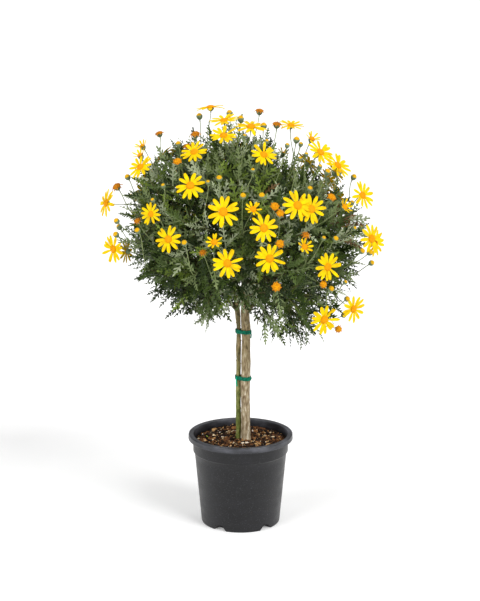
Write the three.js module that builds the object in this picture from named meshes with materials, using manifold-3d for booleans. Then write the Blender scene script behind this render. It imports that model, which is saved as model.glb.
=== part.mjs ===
// Standard daisy bush: two bare stems bound together in a nursery pot, with a round head of foliage.
// Millimetres, +Z up, origin at the centre of the pot's flat underside, front towards -Y.

import * as THREE from "three";
import { mergeVertices } from "three/addons/utils/BufferGeometryUtils.js";
import Module from "manifold-3d";

const wasm = await Module();
wasm.setup();

// ---- Driving dimensions ----

const GAP = 0.3; // clearance between pieces that touch
const MERGE_DISTANCE = 1e-3; // points closer than this are one

const POT = {
  height: 166,
  footRadius: 71.6,
  taper: 0.0925, // growth of the radius for each millimetre of height
  wall: 1.6,
  base: 12,
  sides: 48,
};
const BAND = { bottom: 131, top: 136, radius: 86.3 }; // the wall steps out between these heights
const LIP = { radius: 95, bottom: 156.5, rounding: 1.6 };
const NOTCH = { count: 5, height: 10, bottomWidth: 26, topWidth: 12, depth: 15 };
const FRONT_FOOT = THREE.MathUtils.degToRad(4); // how far the front foot is turned to the right

const SOIL_TOP = 153;

const CROWN = { centre: new THREE.Vector3(0, 0, 533), radius: 243, up: 215, down: 200 };
const HOLLOW = { centre: new THREE.Vector3(2, 4, 450), radius: 58, up: 100 }; // bare space round the fork
const MASS = { detail: 3, softness: 7, unevenness: 0.05, spacing: 1.2, seedReach: 0.6 };

// Rings of foliage masses. Bearings are in degrees from +X, anticlockwise from above; reach is each
// mass's share of the crown's size, and sag its share of the crown's depth below its middle; from is
// the height at which its bough leaves its stem.
const TOP_RING = {
  elevation: 90,
  masses: [{ name: "top", bearing: 0, reach: 1.0, sag: 1, stem: "trunk", from: 462 }],
};
const UPPER_RING = {
  elevation: 27,
  masses: [
    { name: "upper_front", bearing: 268, reach: 1.0, sag: 1, stem: "trunk", from: 436 },
    { name: "upper_right", bearing: 340, reach: 0.97, sag: 1, stem: "trunk", from: 424 },
    { name: "upper_back_right", bearing: 52, reach: 0.97, sag: 1, stem: "trunk", from: 448 },
    { name: "upper_back_left", bearing: 124, reach: 0.97, sag: 1, stem: "second", from: 436 },
    { name: "upper_left", bearing: 196, reach: 1.01, sag: 1, stem: "second", from: 416 },
  ],
};
const LOWER_RING = {
  elevation: -27,
  masses: [
    { name: "lower_right", bearing: 8, reach: 1.01, sag: 1.05, stem: "trunk", from: 376 },
    { name: "lower_back_right", bearing: 66, reach: 0.97, sag: 1.02, stem: "trunk", from: 402 },
    { name: "lower_back_left", bearing: 122, reach: 0.99, sag: 0.96, stem: "second", from: 400 },
    { name: "lower_left", bearing: 180, reach: 0.96, sag: 0.88, stem: "second", from: 384 },
    { name: "lower_front_left", bearing: 238, reach: 0.98, sag: 1.02, stem: "trunk", from: 412 },
    { name: "lower_front_right", bearing: 302, reach: 1.01, sag: 1.14, stem: "trunk", from: 390 },
  ],
};

const STEMS = {
  trunk: {
    path: [
      [9.2, 1, SOIL_TOP + GAP],
      [9.1, 1, 190],
      [9.2, 1.2, 250],
      [9.7, 1.5, 300],
      [9.2, 2, 370],
      [7, 3, 415],
      [6, 3, 462],
    ],
    foot: 8.9,
    girth: 8.2,
    tip: 4.6,
    fork: 372, // the swollen knuckle where the first bough leaves
    knuckle: 1.2,
  },
  second: {
    path: [
      [-4.2, 7, SOIL_TOP + GAP],
      [-4.1, 7, 190],
      [-4.2, 7, 250],
      [-4, 7, 300],
      [-3.4, 6.4, 354],
      [-6, 8, 400],
      [-9, 11, 440],
    ],
    foot: 5.1,
    girth: 4.5,
    tip: 3.2,
    fork: 384,
    knuckle: 0.8,
  },
};
const STEM = {
  sides: 12,
  steps: 16,
  flareHeight: 25, // above the mix, where the root flare has faded
  thinning: 0.09, // share of the girth lost between the flare and the fork
  knuckleSpread: 14,
};
// A bough's arch stands highest at share archAt of its way, and its tip lies inside its mass.
const BOUGH = { sides: 8, steps: 6, foot: 3.9, tip: 2.6, archAt: 0.45, rise: 0.14, into: 14 };

const TIES = [
  { name: "tie_lower", height: 268, tailSide: "second", tailDrop: 13 },
  { name: "tie_upper", height: 354, tailSide: "trunk", tailDrop: 10 },
];
const TAPE = { width: 7, thickness: 0.9, slack: 0.6, tailWidth: 3.2, arcSteps: 7 };

// ---- Materials ----

const finish = (color, roughness) => new THREE.MeshStandardMaterial({ color, roughness, metalness: 0 });
const MATERIALS = {
  pot: finish(0x3a3b3e, 0.55),
  soil: finish(0x4a2f1c, 0.95),
  bark: finish(0x978a6c, 0.85),
  greenBark: finish(0x77804f, 0.8),
  twigBark: finish(0x6d6a48, 0.8),
  tape: finish(0x0a7358, 0.4),
  foliage: finish(0x55704c, 0.7),
};

// ---- Solids and meshes ----

function named(name, geometry, material) {
  const mesh = new THREE.Mesh(geometry, material);
  mesh.name = name;
  return mesh;
}

// A closed geometry as a manifold-3d solid, with its shared vertices merged.
function solidOf(geometry) {
  const bare = geometry.clone();
  for (const attribute of ["normal", "uv"]) bare.deleteAttribute(attribute);
  const merged = mergeVertices(bare, MERGE_DISTANCE);
  const mesh = new wasm.Mesh({
    numProp: 3,
    vertProperties: merged.attributes.position.array,
    triVerts: new Uint32Array(merged.index.array),
  });
  return new wasm.Manifold(mesh);
}

// The largest body of a manifold-3d solid as a geometry.
function geometryOf(solid) {
  const [largest] = solid.decompose().sort((a, b) => b.volume() - a.volume());
  const mesh = largest.getMesh();
  const geometry = new THREE.BufferGeometry();
  geometry.setAttribute("position", new THREE.BufferAttribute(mesh.vertProperties, 3));
  geometry.setIndex(new THREE.BufferAttribute(mesh.triVerts, 1));
  return geometry;
}

// A solid of revolution about +Z from [radius, height] pairs.
function turned(pairs, sides) {
  const profile = pairs.map(([radius, height]) => new THREE.Vector2(radius, height));
  return new THREE.LatheGeometry(profile, sides).rotateX(Math.PI / 2);
}

// ---- Pot ----

const wallRadius = (height) => POT.footRadius + POT.taper * height;

// The inside of the pot from its floor up to a height, moved inwards by a clearance.
function insideProfile(top, clearance) {
  const inset = POT.wall + clearance;
  return [
    [wallRadius(POT.base) - inset, POT.base + clearance],
    [wallRadius(BAND.bottom) - inset, BAND.bottom],
    [BAND.radius - inset, BAND.top],
    [BAND.radius - inset, top],
  ];
}

function potShell() {
  const soft = LIP.rounding;
  const outside = [
    [0, 0],
    [wallRadius(0) - soft, 0],
    [wallRadius(soft), soft],
    [wallRadius(BAND.bottom), BAND.bottom],
    [BAND.radius, BAND.top],
    [BAND.radius, LIP.bottom],
    [LIP.radius - soft / 2, LIP.bottom],
    [LIP.radius, LIP.bottom + soft / 2],
    [LIP.radius, POT.height - soft],
    [LIP.radius - soft, POT.height],
    [BAND.radius - POT.wall + soft, POT.height],
  ];
  const inside = insideProfile(POT.height - soft, 0).reverse();
  return turned([...outside, ...inside, [0, POT.base]], POT.sides);
}

// A drainage notch: a trapezoid that is wide at the floor, run inwards from outside the wall.
function notchCutter(bearing) {
  const [low, high] = [NOTCH.bottomWidth / 2, NOTCH.topWidth / 2];
  const below = 1; // cuts past the underside
  const outline = new THREE.Shape([
    new THREE.Vector2(-low, -below),
    new THREE.Vector2(low, -below),
    new THREE.Vector2(high, NOTCH.height),
    new THREE.Vector2(-high, NOTCH.height),
  ]);
  const past = 5; // and past the outside of the wall
  const cutter = new THREE.ExtrudeGeometry(outline, { depth: NOTCH.depth + past, bevelEnabled: false });
  // The outline's plane turns upright and its depth points away from the pot's axis.
  cutter.rotateX(Math.PI / 2).rotateZ(Math.PI).translate(0, POT.footRadius - NOTCH.depth, 0);
  return cutter.rotateZ(bearing - Math.PI / 2);
}

function pot() {
  let solid = solidOf(potShell());
  const step = (2 * Math.PI) / NOTCH.count;
  for (let i = 0; i < NOTCH.count; i++) {
    const bearing = -Math.PI / 2 + FRONT_FOOT + (i + 0.5) * step;
    solid = solid.subtract(solidOf(notchCutter(bearing)));
  }
  return named("pot", geometryOf(solid), MATERIALS.pot);
}

function pottingMix() {
  const side = insideProfile(SOIL_TOP, GAP);
  const geometry = turned([[0, POT.base + GAP], ...side, [0, SOIL_TOP]], POT.sides);
  return named("potting_mix", geometry, MATERIALS.soil);
}

// ---- Stems and boughs ----

// A limb of round section: a lathe of unit height whose axis is laid along the curve. With flatFoot
// its first ring is level.
function limb(curve, radiusAt, { steps, sides }, flatFoot = false) {
  const rings = Array.from({ length: steps + 1 }, (_, i) => i / steps);
  const profile = [[0, 0], ...rings.map((t) => [radiusAt(t), t]), [0, 1]];
  const geometry = new THREE.LatheGeometry(profile.map(([r, t]) => new THREE.Vector2(r, t)), sides);
  const frames = curve.computeFrenetFrames(steps);
  const points = rings.map((t) => curve.getPointAt(t));
  const position = geometry.attributes.position;
  const at = new THREE.Vector3();
  for (let i = 0; i < position.count; i++) {
    const ring = Math.round(position.getY(i) * steps);
    at.copy(points[ring]);
    at.addScaledVector(frames.normals[ring], position.getZ(i));
    at.addScaledVector(frames.binormals[ring], position.getX(i));
    if (flatFoot && ring === 0) at.z = points[0].z;
    position.setXYZ(i, at.x, at.y, at.z);
  }
  return geometry;
}

const smooth = (a, b, x) => THREE.MathUtils.smoothstep(x, a, b);

function stemCurve(stem) {
  return new THREE.CatmullRomCurve3(stem.path.map((p) => new THREE.Vector3(...p)), false, "centripetal");
}

// The stem's radius at a height: a slight root flare, an even girth, a knuckle at the fork, a taper.
function stemRadius(stem, height) {
  const top = stem.path.at(-1)[2];
  const flareTop = SOIL_TOP + STEM.flareHeight;
  const flare = (stem.foot - stem.girth) * (1 - smooth(SOIL_TOP, flareTop, height));
  const thinning = STEM.thinning * stem.girth * smooth(flareTop, stem.fork, height);
  const knuckle = stem.knuckle * Math.exp(-(((height - stem.fork) / STEM.knuckleSpread) ** 2));
  const taper = ((1 - STEM.thinning) * stem.girth - stem.tip) * smooth(stem.fork, top, height);
  return stem.girth + flare - thinning + knuckle - taper;
}

function stemGeometry(stem, grow = 0) {
  const curve = stemCurve(stem);
  const radiusAt = (t) => stemRadius(stem, curve.getPointAt(t).z) + grow;
  return limb(curve, radiusAt, STEM, true);
}

// The point of a stem's axis at a height, found by halving.
function stemPointAt(stem, height) {
  const curve = stemCurve(stem);
  let [low, high] = [0, 1];
  for (let i = 0; i < 30; i++) {
    const middle = (low + high) / 2;
    if (curve.getPointAt(middle).z < height) low = middle;
    else high = middle;
  }
  return curve.getPointAt((low + high) / 2);
}

// ---- Foliage ----

function directionOf(bearing, elevation) {
  const [b, e] = [bearing, elevation].map(THREE.MathUtils.degToRad);
  return new THREE.Vector3(Math.cos(e) * Math.cos(b), Math.cos(e) * Math.sin(b), Math.sin(e));
}

function placeMasses() {
  const masses = [];
  for (const ring of [TOP_RING, UPPER_RING, LOWER_RING])
    for (const mass of ring.masses) {
      const out = directionOf(mass.bearing, ring.elevation);
      const size = new THREE.Vector3(CROWN.radius, CROWN.radius, out.z > 0 ? CROWN.up : CROWN.down);
      const seed = out.multiply(size).multiplyScalar(MASS.seedReach).add(CROWN.centre);
      const towards = seed.clone().sub(HOLLOW.centre).normalize();
      masses.push({ ...mass, seed, towards });
    }
  for (const mass of masses) mass.walls = wallsOf(mass, masses);
  return masses;
}

// Low waves over the crown, different in every direction, between -1 and 1.
function waves(p) {
  const [x, y, z] = [p.x / 31, p.y / 29, p.z / 33];
  return (Math.sin(x + 1.7 * y) + Math.sin(1.9 * z - x + 2) + Math.sin(2.3 * y + z + 4)) / 3;
}

// How far the crown's uneven outside is from a mass's seed along a ray.
function outsideAlong(mass, ray) {
  const height = ray.z > 0 ? CROWN.up : CROWN.down * mass.sag;
  const size = new THREE.Vector3(CROWN.radius, CROWN.radius, height).multiplyScalar(mass.reach);
  const start = mass.seed.clone().sub(CROWN.centre).divide(size);
  const along = ray.clone().divide(size);
  const [a, b, c] = [along.dot(along), 2 * start.dot(along), start.dot(start) - 1];
  const distance = (-b + Math.sqrt(b * b - 4 * a * c)) / (2 * a);
  const hit = mass.seed.clone().addScaledVector(ray, distance);
  return distance * (1 + MASS.unevenness * (waves(hit) - 1));
}

// The planes that keep a mass out of the other masses and of the bare space: the ones halfway to the
// other seeds, and the one that touches the bare space on the side of the mass.
function wallsOf(mass, masses) {
  const walls = masses
    .filter((other) => other !== mass)
    .map((other) => {
      const normal = other.seed.clone().sub(mass.seed);
      return { distance: normal.length() / 2 - MASS.spacing / 2, normal: normal.normalize() };
    });
  const size = new THREE.Vector3(HOLLOW.radius, HOLLOW.radius, HOLLOW.up);
  const hollow = mass.towards.clone().multiply(size).length();
  const apart = mass.seed.clone().sub(HOLLOW.centre).dot(mass.towards);
  return [...walls, { distance: apart - hollow, normal: mass.towards.clone().negate() }];
}

// The way from a mass's seed to its surface along a ray: the soft minimum of the ways to the crown's
// outside and to its walls.
function reachAlong(mass, ray) {
  const ways = mass.walls
    .filter((wall) => wall.normal.dot(ray) > 1e-6)
    .map((wall) => wall.distance / wall.normal.dot(ray));
  const sum = [...ways, outsideAlong(mass, ray)].reduce((total, way) => total + way ** -MASS.softness, 0);
  return sum ** (-1 / MASS.softness);
}

function massGeometry(mass) {
  const geometry = new THREE.IcosahedronGeometry(1, MASS.detail);
  const position = geometry.attributes.position;
  const ray = new THREE.Vector3();
  for (let i = 0; i < position.count; i++) {
    ray.fromBufferAttribute(position, i).normalize();
    ray.multiplyScalar(reachAlong(mass, ray)).add(mass.seed);
    position.setXYZ(i, ray.x, ray.y, ray.z);
  }
  return geometry;
}

// A bough leaves its stem, rises in a low arch and runs a little way into its mass.
function boughCurve(mass) {
  const start = stemPointAt(STEMS[mass.stem], mass.from);
  if (mass.name === "top") start.z += GAP;
  const inwards = mass.towards.clone().negate();
  const end = mass.seed.clone().addScaledVector(inwards, reachAlong(mass, inwards) - BOUGH.into);
  const middle = start.clone().lerp(end, BOUGH.archAt);
  middle.z += BOUGH.rise * start.distanceTo(end) * (1 - Math.abs(mass.towards.z));
  return new THREE.QuadraticBezierCurve3(start, middle, end);
}

function boughGeometry(mass, grow = 0) {
  const radiusAt = (t) => THREE.MathUtils.lerp(BOUGH.foot, BOUGH.tip, t) + grow;
  return limb(boughCurve(mass), radiusAt, BOUGH);
}

// ---- Ties ----

// The outline of a tape drawn tight round both stems, at a clearance from their bark.
function tapeOutline(height, clearance) {
  const [one, two] = [STEMS.trunk, STEMS.second].map((stem) => ({
    centre: stemPointAt(stem, height),
    radius: stemRadius(stem, height) + clearance,
  }));
  const apart = two.centre.clone().sub(one.centre).setZ(0);
  const facing = Math.atan2(apart.y, apart.x);
  const opening = Math.acos((one.radius - two.radius) / apart.length());
  const path = new THREE.Path();
  const [first, last] = [facing + opening, facing - opening + 2 * Math.PI];
  path.absarc(one.centre.x, one.centre.y, one.radius, first, last);
  path.absarc(two.centre.x, two.centre.y, two.radius, facing - opening, facing + opening);
  path.closePath();
  return path;
}

function tie({ name, height, tailSide, tailDrop }) {
  const outer = new THREE.Shape(tapeOutline(height, TAPE.slack + TAPE.thickness).getPoints(TAPE.arcSteps));
  outer.holes.push(new THREE.Path(tapeOutline(height, TAPE.slack).getPoints(TAPE.arcSteps)));
  const loop = new THREE.ExtrudeGeometry(outer, { depth: TAPE.width, bevelEnabled: false });
  loop.translate(0, 0, height - TAPE.width / 2);

  // The tail hangs outside the loop on one stem's side, and joins it in its outer half.
  const stem = STEMS[tailSide];
  const side = tailSide === "trunk" ? 1 : -1;
  const centre = stemPointAt(stem, height);
  const reach = stemRadius(stem, height) + TAPE.slack + TAPE.thickness * 0.9;
  const tail = new THREE.BoxGeometry(TAPE.thickness, TAPE.tailWidth, tailDrop);
  tail.translate(centre.x + side * reach, centre.y, height - tailDrop / 2);
  return named(name, geometryOf(solidOf(loop).add(solidOf(tail))), MATERIALS.tape);
}

// ---- Assembly ----

function plant() {
  const group = new THREE.Group();
  group.add(pot(), pottingMix());
  group.add(named("trunk", stemGeometry(STEMS.trunk), MATERIALS.bark));
  group.add(named("second_stem", stemGeometry(STEMS.second), MATERIALS.greenBark));
  TIES.forEach((one) => group.add(tie(one)));

  // Each bough is cut off at the bark of both stems, and each mass is cut round the boughs.
  const clearStems = solidOf(stemGeometry(STEMS.trunk, GAP)).add(solidOf(stemGeometry(STEMS.second, GAP)));
  const masses = placeMasses();
  const clearBoughs = masses
    .map((mass) => solidOf(boughGeometry(mass, GAP)))
    .reduce((all, next) => all.add(next));
  for (const mass of masses) {
    const bough = solidOf(boughGeometry(mass)).subtract(clearStems);
    group.add(named(`bough_${mass.name}`, geometryOf(bough), MATERIALS.twigBark));
    const leaves = solidOf(massGeometry(mass)).subtract(clearBoughs);
    group.add(named(`foliage_${mass.name}`, geometryOf(leaves), MATERIALS.foliage));
  }
  return group;
}

export default plant();
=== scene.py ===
# %% [markdown]
# # A standard daisy bush in its nursery pot
#
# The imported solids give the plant's true places: a pot, its potting mix, two bound stems, boughs and
# masses of foliage. This lesson keeps those places and grows the real surfaces on them: moulded plastic,
# bark with relief, chips of bark in the pot, twigs, feathery leaves and yellow daisies. Everything is
# worked out in millimetres as numpy arrays and turned to metres when a mesh is made.

# %% Load the frame
import math

import bmesh
import bpy
import mathutils
import numpy as np
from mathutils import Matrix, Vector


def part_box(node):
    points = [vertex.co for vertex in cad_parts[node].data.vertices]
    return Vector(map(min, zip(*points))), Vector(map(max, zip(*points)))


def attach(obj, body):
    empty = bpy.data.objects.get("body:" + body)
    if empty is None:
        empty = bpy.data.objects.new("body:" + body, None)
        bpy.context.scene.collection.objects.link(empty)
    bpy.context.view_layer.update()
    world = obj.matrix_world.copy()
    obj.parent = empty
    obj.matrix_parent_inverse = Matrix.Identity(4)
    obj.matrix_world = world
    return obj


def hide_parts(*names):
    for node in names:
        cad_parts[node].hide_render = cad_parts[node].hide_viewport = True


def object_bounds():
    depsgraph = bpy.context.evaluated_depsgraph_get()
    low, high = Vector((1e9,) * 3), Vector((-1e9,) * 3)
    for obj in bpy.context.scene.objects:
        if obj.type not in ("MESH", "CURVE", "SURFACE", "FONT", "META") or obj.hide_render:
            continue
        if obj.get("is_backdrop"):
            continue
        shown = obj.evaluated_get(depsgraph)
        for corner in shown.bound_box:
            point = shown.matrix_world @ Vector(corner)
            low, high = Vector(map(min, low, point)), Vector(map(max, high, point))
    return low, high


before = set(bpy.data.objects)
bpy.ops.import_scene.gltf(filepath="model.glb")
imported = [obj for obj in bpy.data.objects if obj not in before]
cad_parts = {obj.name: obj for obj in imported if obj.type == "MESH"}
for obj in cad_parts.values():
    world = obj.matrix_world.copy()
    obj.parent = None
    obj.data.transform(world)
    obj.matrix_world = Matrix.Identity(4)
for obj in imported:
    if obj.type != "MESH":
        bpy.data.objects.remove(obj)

CAD_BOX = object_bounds()
MM = 0.001
UP = np.array([0.0, 0.0, 1.0])
FRONT = np.array([0.0, -1.0, 0.0])
print("nodes:", len(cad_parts), "box:", [tuple(round(v, 3) for v in c) for c in CAD_BOX])

# %% [markdown]
# ## Camera, light and floor
#
# The plant is seen from a little above, from far enough away that the pot's sides stay almost parallel.
# A portrait lens at two and a half metres gives that. Wide distant lamps light the floor evenly as far as it
# goes, so it stays one plain white. Two stand low in front, to the right and to the left, and reach in
# under the crown; a third stands high behind. The surround gives only a little light of its own, so the
# shade between the leaves stays deep.

# %% Camera
CAMERA = {"place": (-1.1, -2500.0, 959.0), "pitch_down": 12.35, "lens": 85.96, "sensor": 36.0}
# How far the camera sees, in metres, which takes in the whole floor.
SIGHT = 1500.0


def add_camera():
    """A camera in front of the plant, turned down by its pitch from the level."""
    data = bpy.data.cameras.new("camera")
    data.lens = CAMERA["lens"]
    data.sensor_width = CAMERA["sensor"]
    data.clip_end = SIGHT
    camera = bpy.data.objects.new("camera", data)
    camera.location = [v * MM for v in CAMERA["place"]]
    camera.rotation_euler = (math.radians(90.0 - CAMERA["pitch_down"]), 0.0, 0.0)
    bpy.context.scene.collection.objects.link(camera)
    bpy.context.scene.camera = camera


add_camera()

# %% Lamps and surround
SUNS = {
    "key_sun": {"bearing": 46.0, "height": 37.0, "spread": 30.0, "strength": 2.15},
    "fill_sun": {"bearing": -50.0, "height": 31.0, "spread": 40.0, "strength": 1.55},
    "back_sun": {"bearing": 165.0, "height": 58.0, "spread": 50.0, "strength": 0.6},
}
SURROUND = 0.3


def add_sun(name, bearing, height, spread, strength):
    """A distant lamp, wide as a disc of spread degrees. Its +Z axis looks back to where the light comes
    from: a bearing (0 in front, growing to the right) and a height above the floor, in degrees."""
    data = bpy.data.lights.new(name, "SUN")
    data.angle = math.radians(spread)
    data.energy = strength
    lamp = bpy.data.objects.new(name, data)
    b, h = math.radians(bearing), math.radians(height)
    source = mathutils.Vector((math.sin(b) * math.cos(h), -math.cos(b) * math.cos(h), math.sin(h)))
    lamp.rotation_euler = source.to_track_quat("Z", "Y").to_euler()
    bpy.context.scene.collection.objects.link(lamp)


for sun_name, sun_facts in SUNS.items():
    add_sun(sun_name, **sun_facts)


def add_surround(strength):
    """A white world that looks fully white behind the plant and lights it with less strength."""
    world = bpy.data.worlds.new("white surround")
    world.use_nodes = True
    tree = world.node_tree
    light = tree.nodes["Background"]
    light.inputs["Color"].default_value = (1.0, 1.0, 1.0, 1.0)
    light.inputs["Strength"].default_value = strength
    backdrop = tree.nodes.new("ShaderNodeBackground")
    backdrop.inputs["Color"].default_value = (1.0, 1.0, 1.0, 1.0)
    choice = tree.nodes.new("ShaderNodeMixShader")
    rays = tree.nodes.new("ShaderNodeLightPath")
    tree.links.new(rays.outputs["Is Camera Ray"], choice.inputs["Fac"])
    tree.links.new(light.outputs["Background"], choice.inputs[1])
    tree.links.new(backdrop.outputs["Background"], choice.inputs[2])
    tree.links.new(choice.outputs["Shader"], tree.nodes["World Output"].inputs["Surface"])
    bpy.context.scene.world = world


add_surround(SURROUND)
bpy.context.scene.view_settings.view_transform = "Standard"
print("lamps:", list(SUNS))

# %% [markdown]
# ## From arrays to meshes
#
# A plant is thousands of small copies of a few shapes. Placing each as an object would be slow and heavy,
# so a pile collects the points and faces of many copies as arrays and becomes one mesh at the end. Each
# copy is a small shape times a turning matrix plus a place, worked out for all copies at once.


# %% A pile of shapes that becomes one mesh
class Pile:
    """Joined shapes: lists of points, of faces with equal corner counts, and of their material numbers."""

    def __init__(self):
        self.points = []
        self.faces = []
        self.materials = []
        self.count = 0

    def add(self, points, face_sets, material=0):
        """Adds one shape, all of whose faces wear the material of one number."""
        for faces in face_sets:
            self.faces.append(np.asarray(faces, np.int64) + self.count)
            self.materials.append(np.full(len(faces), material, np.int32))
        self.points.append(points)
        self.count += len(points)

    def add_copies(self, shape, turns, places, material=0):
        """Adds one copy of a shape for each turning matrix and place: point = matrix times point + place.
        material is one number, or one for each copy."""
        points, face_sets = shape
        n, v = len(places), len(points)
        moved = np.einsum("nij,vj->nvi", turns, points) + places[:, None]
        numbers = np.broadcast_to(material, (n,))
        first = self.count
        self.points.append(moved.reshape(-1, 3))
        self.count += n * v
        for faces in face_sets:
            steps = first + v * np.arange(n)[:, None, None]
            self.faces.append((faces[None] + steps).reshape(-1, faces.shape[1]))
            self.materials.append(np.repeat(numbers, len(faces)).astype(np.int32))

    def build(self, name, materials, slot, replaces=(), smooth=True):
        """One mesh object of everything in the pile, in metres, riding on the plant's one body."""
        corners = np.concatenate([f.ravel() for f in self.faces])
        totals = np.concatenate([np.full(len(f), f.shape[1]) for f in self.faces])
        starts = np.concatenate([[0], np.cumsum(totals)[:-1]])
        points = np.concatenate(self.points) * MM
        mesh = bpy.data.meshes.new(name)
        mesh.vertices.add(len(points))
        mesh.vertices.foreach_set("co", points.astype(np.float32).ravel())
        mesh.loops.add(len(corners))
        mesh.loops.foreach_set("vertex_index", corners.astype(np.int32))
        mesh.polygons.add(len(totals))
        mesh.polygons.foreach_set("loop_start", starts.astype(np.int32))
        mesh.polygons.foreach_set("material_index", np.concatenate(self.materials))
        mesh.polygons.foreach_set("use_smooth", np.full(len(totals), smooth))
        mesh.update(calc_edges=True)
        for material in materials:
            mesh.materials.append(material)
        piece = bpy.data.objects.new(name, mesh)
        bpy.context.scene.collection.objects.link(piece)
        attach(piece, "root")
        if replaces:
            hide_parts(*replaces)
        print(f"{name}: {int((totals - 2).sum())} triangles")
        return piece


# %% Small array helpers
NEARLY_UP = 0.85


def unit(vectors):
    """Vectors divided by their lengths."""
    return vectors / np.maximum(np.linalg.norm(vectors, axis=-1, keepdims=True), 1e-9)


def across(vectors):
    """A unit vector square to each vector: its cross product with +Z, or with +X where it is nearly
    upright."""
    leans_up = np.abs(vectors[..., 2:3]) > NEARLY_UP
    axis = np.where(leans_up, np.array([1.0, 0.0, 0.0]), UP)
    return unit(np.cross(axis, vectors))


def grid_faces(rows, columns, wrap=False):
    """Quads between neighbouring rows and columns of a grid of points. With wrap, the last column joins
    the first."""
    i, j = np.meshgrid(np.arange(rows - 1), np.arange(columns if wrap else columns - 1), indexing="ij")
    k = (j + 1) % columns
    quads = [i * columns + j, i * columns + k, (i + 1) * columns + k, (i + 1) * columns + j]
    return np.stack(quads, axis=-1).reshape(-1, 4)


def tubes(paths, radii):
    """Closed tubes along (N, T, 3) paths with (N, T, S) radii: each point is the path's point plus the
    radius times (cos a * side + sin a * other side), both square to the path."""
    n, t, s = radii.shape
    along = unit(np.gradient(paths, axis=1))
    side = across(np.broadcast_to(unit(paths[:, -1:] - paths[:, :1]), along.shape))
    side = unit(side - along * (side * along).sum(-1, keepdims=True))
    other = np.cross(along, side)
    a = 2 * np.pi * np.arange(s) / s
    ring = np.cos(a)[:, None] * side[:, :, None] + np.sin(a)[:, None] * other[:, :, None]
    points = paths[:, :, None] + radii[..., None] * ring
    first = t * s * np.arange(n)[:, None]
    quads = (grid_faces(t, s, wrap=True)[None] + first[:, None]).reshape(-1, 4)
    foot = first + np.arange(s)[::-1]
    tip = first + (t - 1) * s + np.arange(s)
    return points.reshape(-1, 3), [quads, foot, tip]


def hermite(start, start_pull, end, end_pull, steps):
    """(N, T, 3) curves that leave each start along its pull and reach each end along its pull."""
    t = np.linspace(0.0, 1.0, steps)[None, :, None]
    a, b = start[:, None], end[:, None]
    ends = (2 * t**3 - 3 * t**2 + 1) * a + (3 * t**2 - 2 * t**3) * b
    pulls = (t**3 - 2 * t**2 + t) * start_pull[:, None] + (t**3 - t**2) * end_pull[:, None]
    return ends + pulls


def waves(*coordinates, seed, count=16):
    """A smooth uneven field, mostly between -1 and 1: a sum of cosines with seeded directions, divided by
    the root of half their count."""
    rng = np.random.default_rng(seed)
    field = 0.0
    for _ in range(count):
        turn = rng.normal(0.0, 1.0, len(coordinates))
        field = field + np.cos(sum(k * c for k, c in zip(turn, coordinates)) + rng.uniform(0, 2 * np.pi))
    return field / math.sqrt(count / 2)


# %% [markdown]
# ## Finishes
#
# Each finish is a Principled shader whose colour, roughness and bump come from noise in the object's own
# space, so that no two places look the same. One helper makes the common form: a noise picks a colour
# from a short ramp, another changes the roughness, and a finer one is the bump.


# %% Colours and the common finish
MOTTLE_SPAN = (0.35, 0.65)
FLECK_EDGE = (0.6, 0.68)


def tint(red, green, blue):
    """A colour given as it looks on a screen, from 0 to 255, as the linear numbers a shader wants."""
    share = np.array([red, green, blue]) / 255.0
    linear = np.where(share <= 0.04045, share / 12.92, ((share + 0.055) / 1.055) ** 2.4)
    return (*linear.tolist(), 1.0)


def noise_node(tree, vector, size, detail=4.0):
    """A noise whose grain is about the given size in millimetres."""
    noise = tree.nodes.new("ShaderNodeTexNoise")
    noise.inputs["Scale"].default_value = 1.0 / (size * MM)
    noise.inputs["Detail"].default_value = detail
    tree.links.new(vector, noise.inputs["Vector"])
    return noise


def ramp_node(tree, factor, colours, low=0.32, high=0.68):
    """A colour ramp with its colours spread evenly between two factors."""
    ramp = tree.nodes.new("ShaderNodeValToRGB")
    stops = ramp.color_ramp.elements
    for place, colour in zip(np.linspace(low, high, len(colours)), colours):
        stop = stops.new(place)
        stop.color = colour
    stops.remove(stops[0])
    stops.remove(stops[-1])
    tree.links.new(factor, ramp.inputs["Fac"])
    return ramp


MIX_FIRST, MIX_SECOND, MIX_RESULT = 6, 7, 2


def mix_colours(tree, factor, first, second):
    """A node that mixes two colour outputs, or an output and a plain colour, by a factor's output. It has
    sockets of the same name for each kind of value, so its colour sockets are found by number."""
    mix = tree.nodes.new("ShaderNodeMix")
    mix.data_type = "RGBA"
    tree.links.new(factor, mix.inputs["Factor"])
    tree.links.new(first, mix.inputs[MIX_FIRST])
    if isinstance(second, tuple):
        mix.inputs[MIX_SECOND].default_value = second
    else:
        tree.links.new(second, mix.inputs[MIX_SECOND])
    return mix.outputs[MIX_RESULT]


def range_node(tree, value, source, target):
    """Maps a value from one range to another and clamps it there."""
    node = tree.nodes.new("ShaderNodeMapRange")
    names = ("From Min", "From Max", "To Min", "To Max")
    for socket, number in zip(names, (*source, *target)):
        node.inputs[socket].default_value = number
    tree.links.new(value, node.inputs["Value"])
    return node.outputs["Result"]


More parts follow.
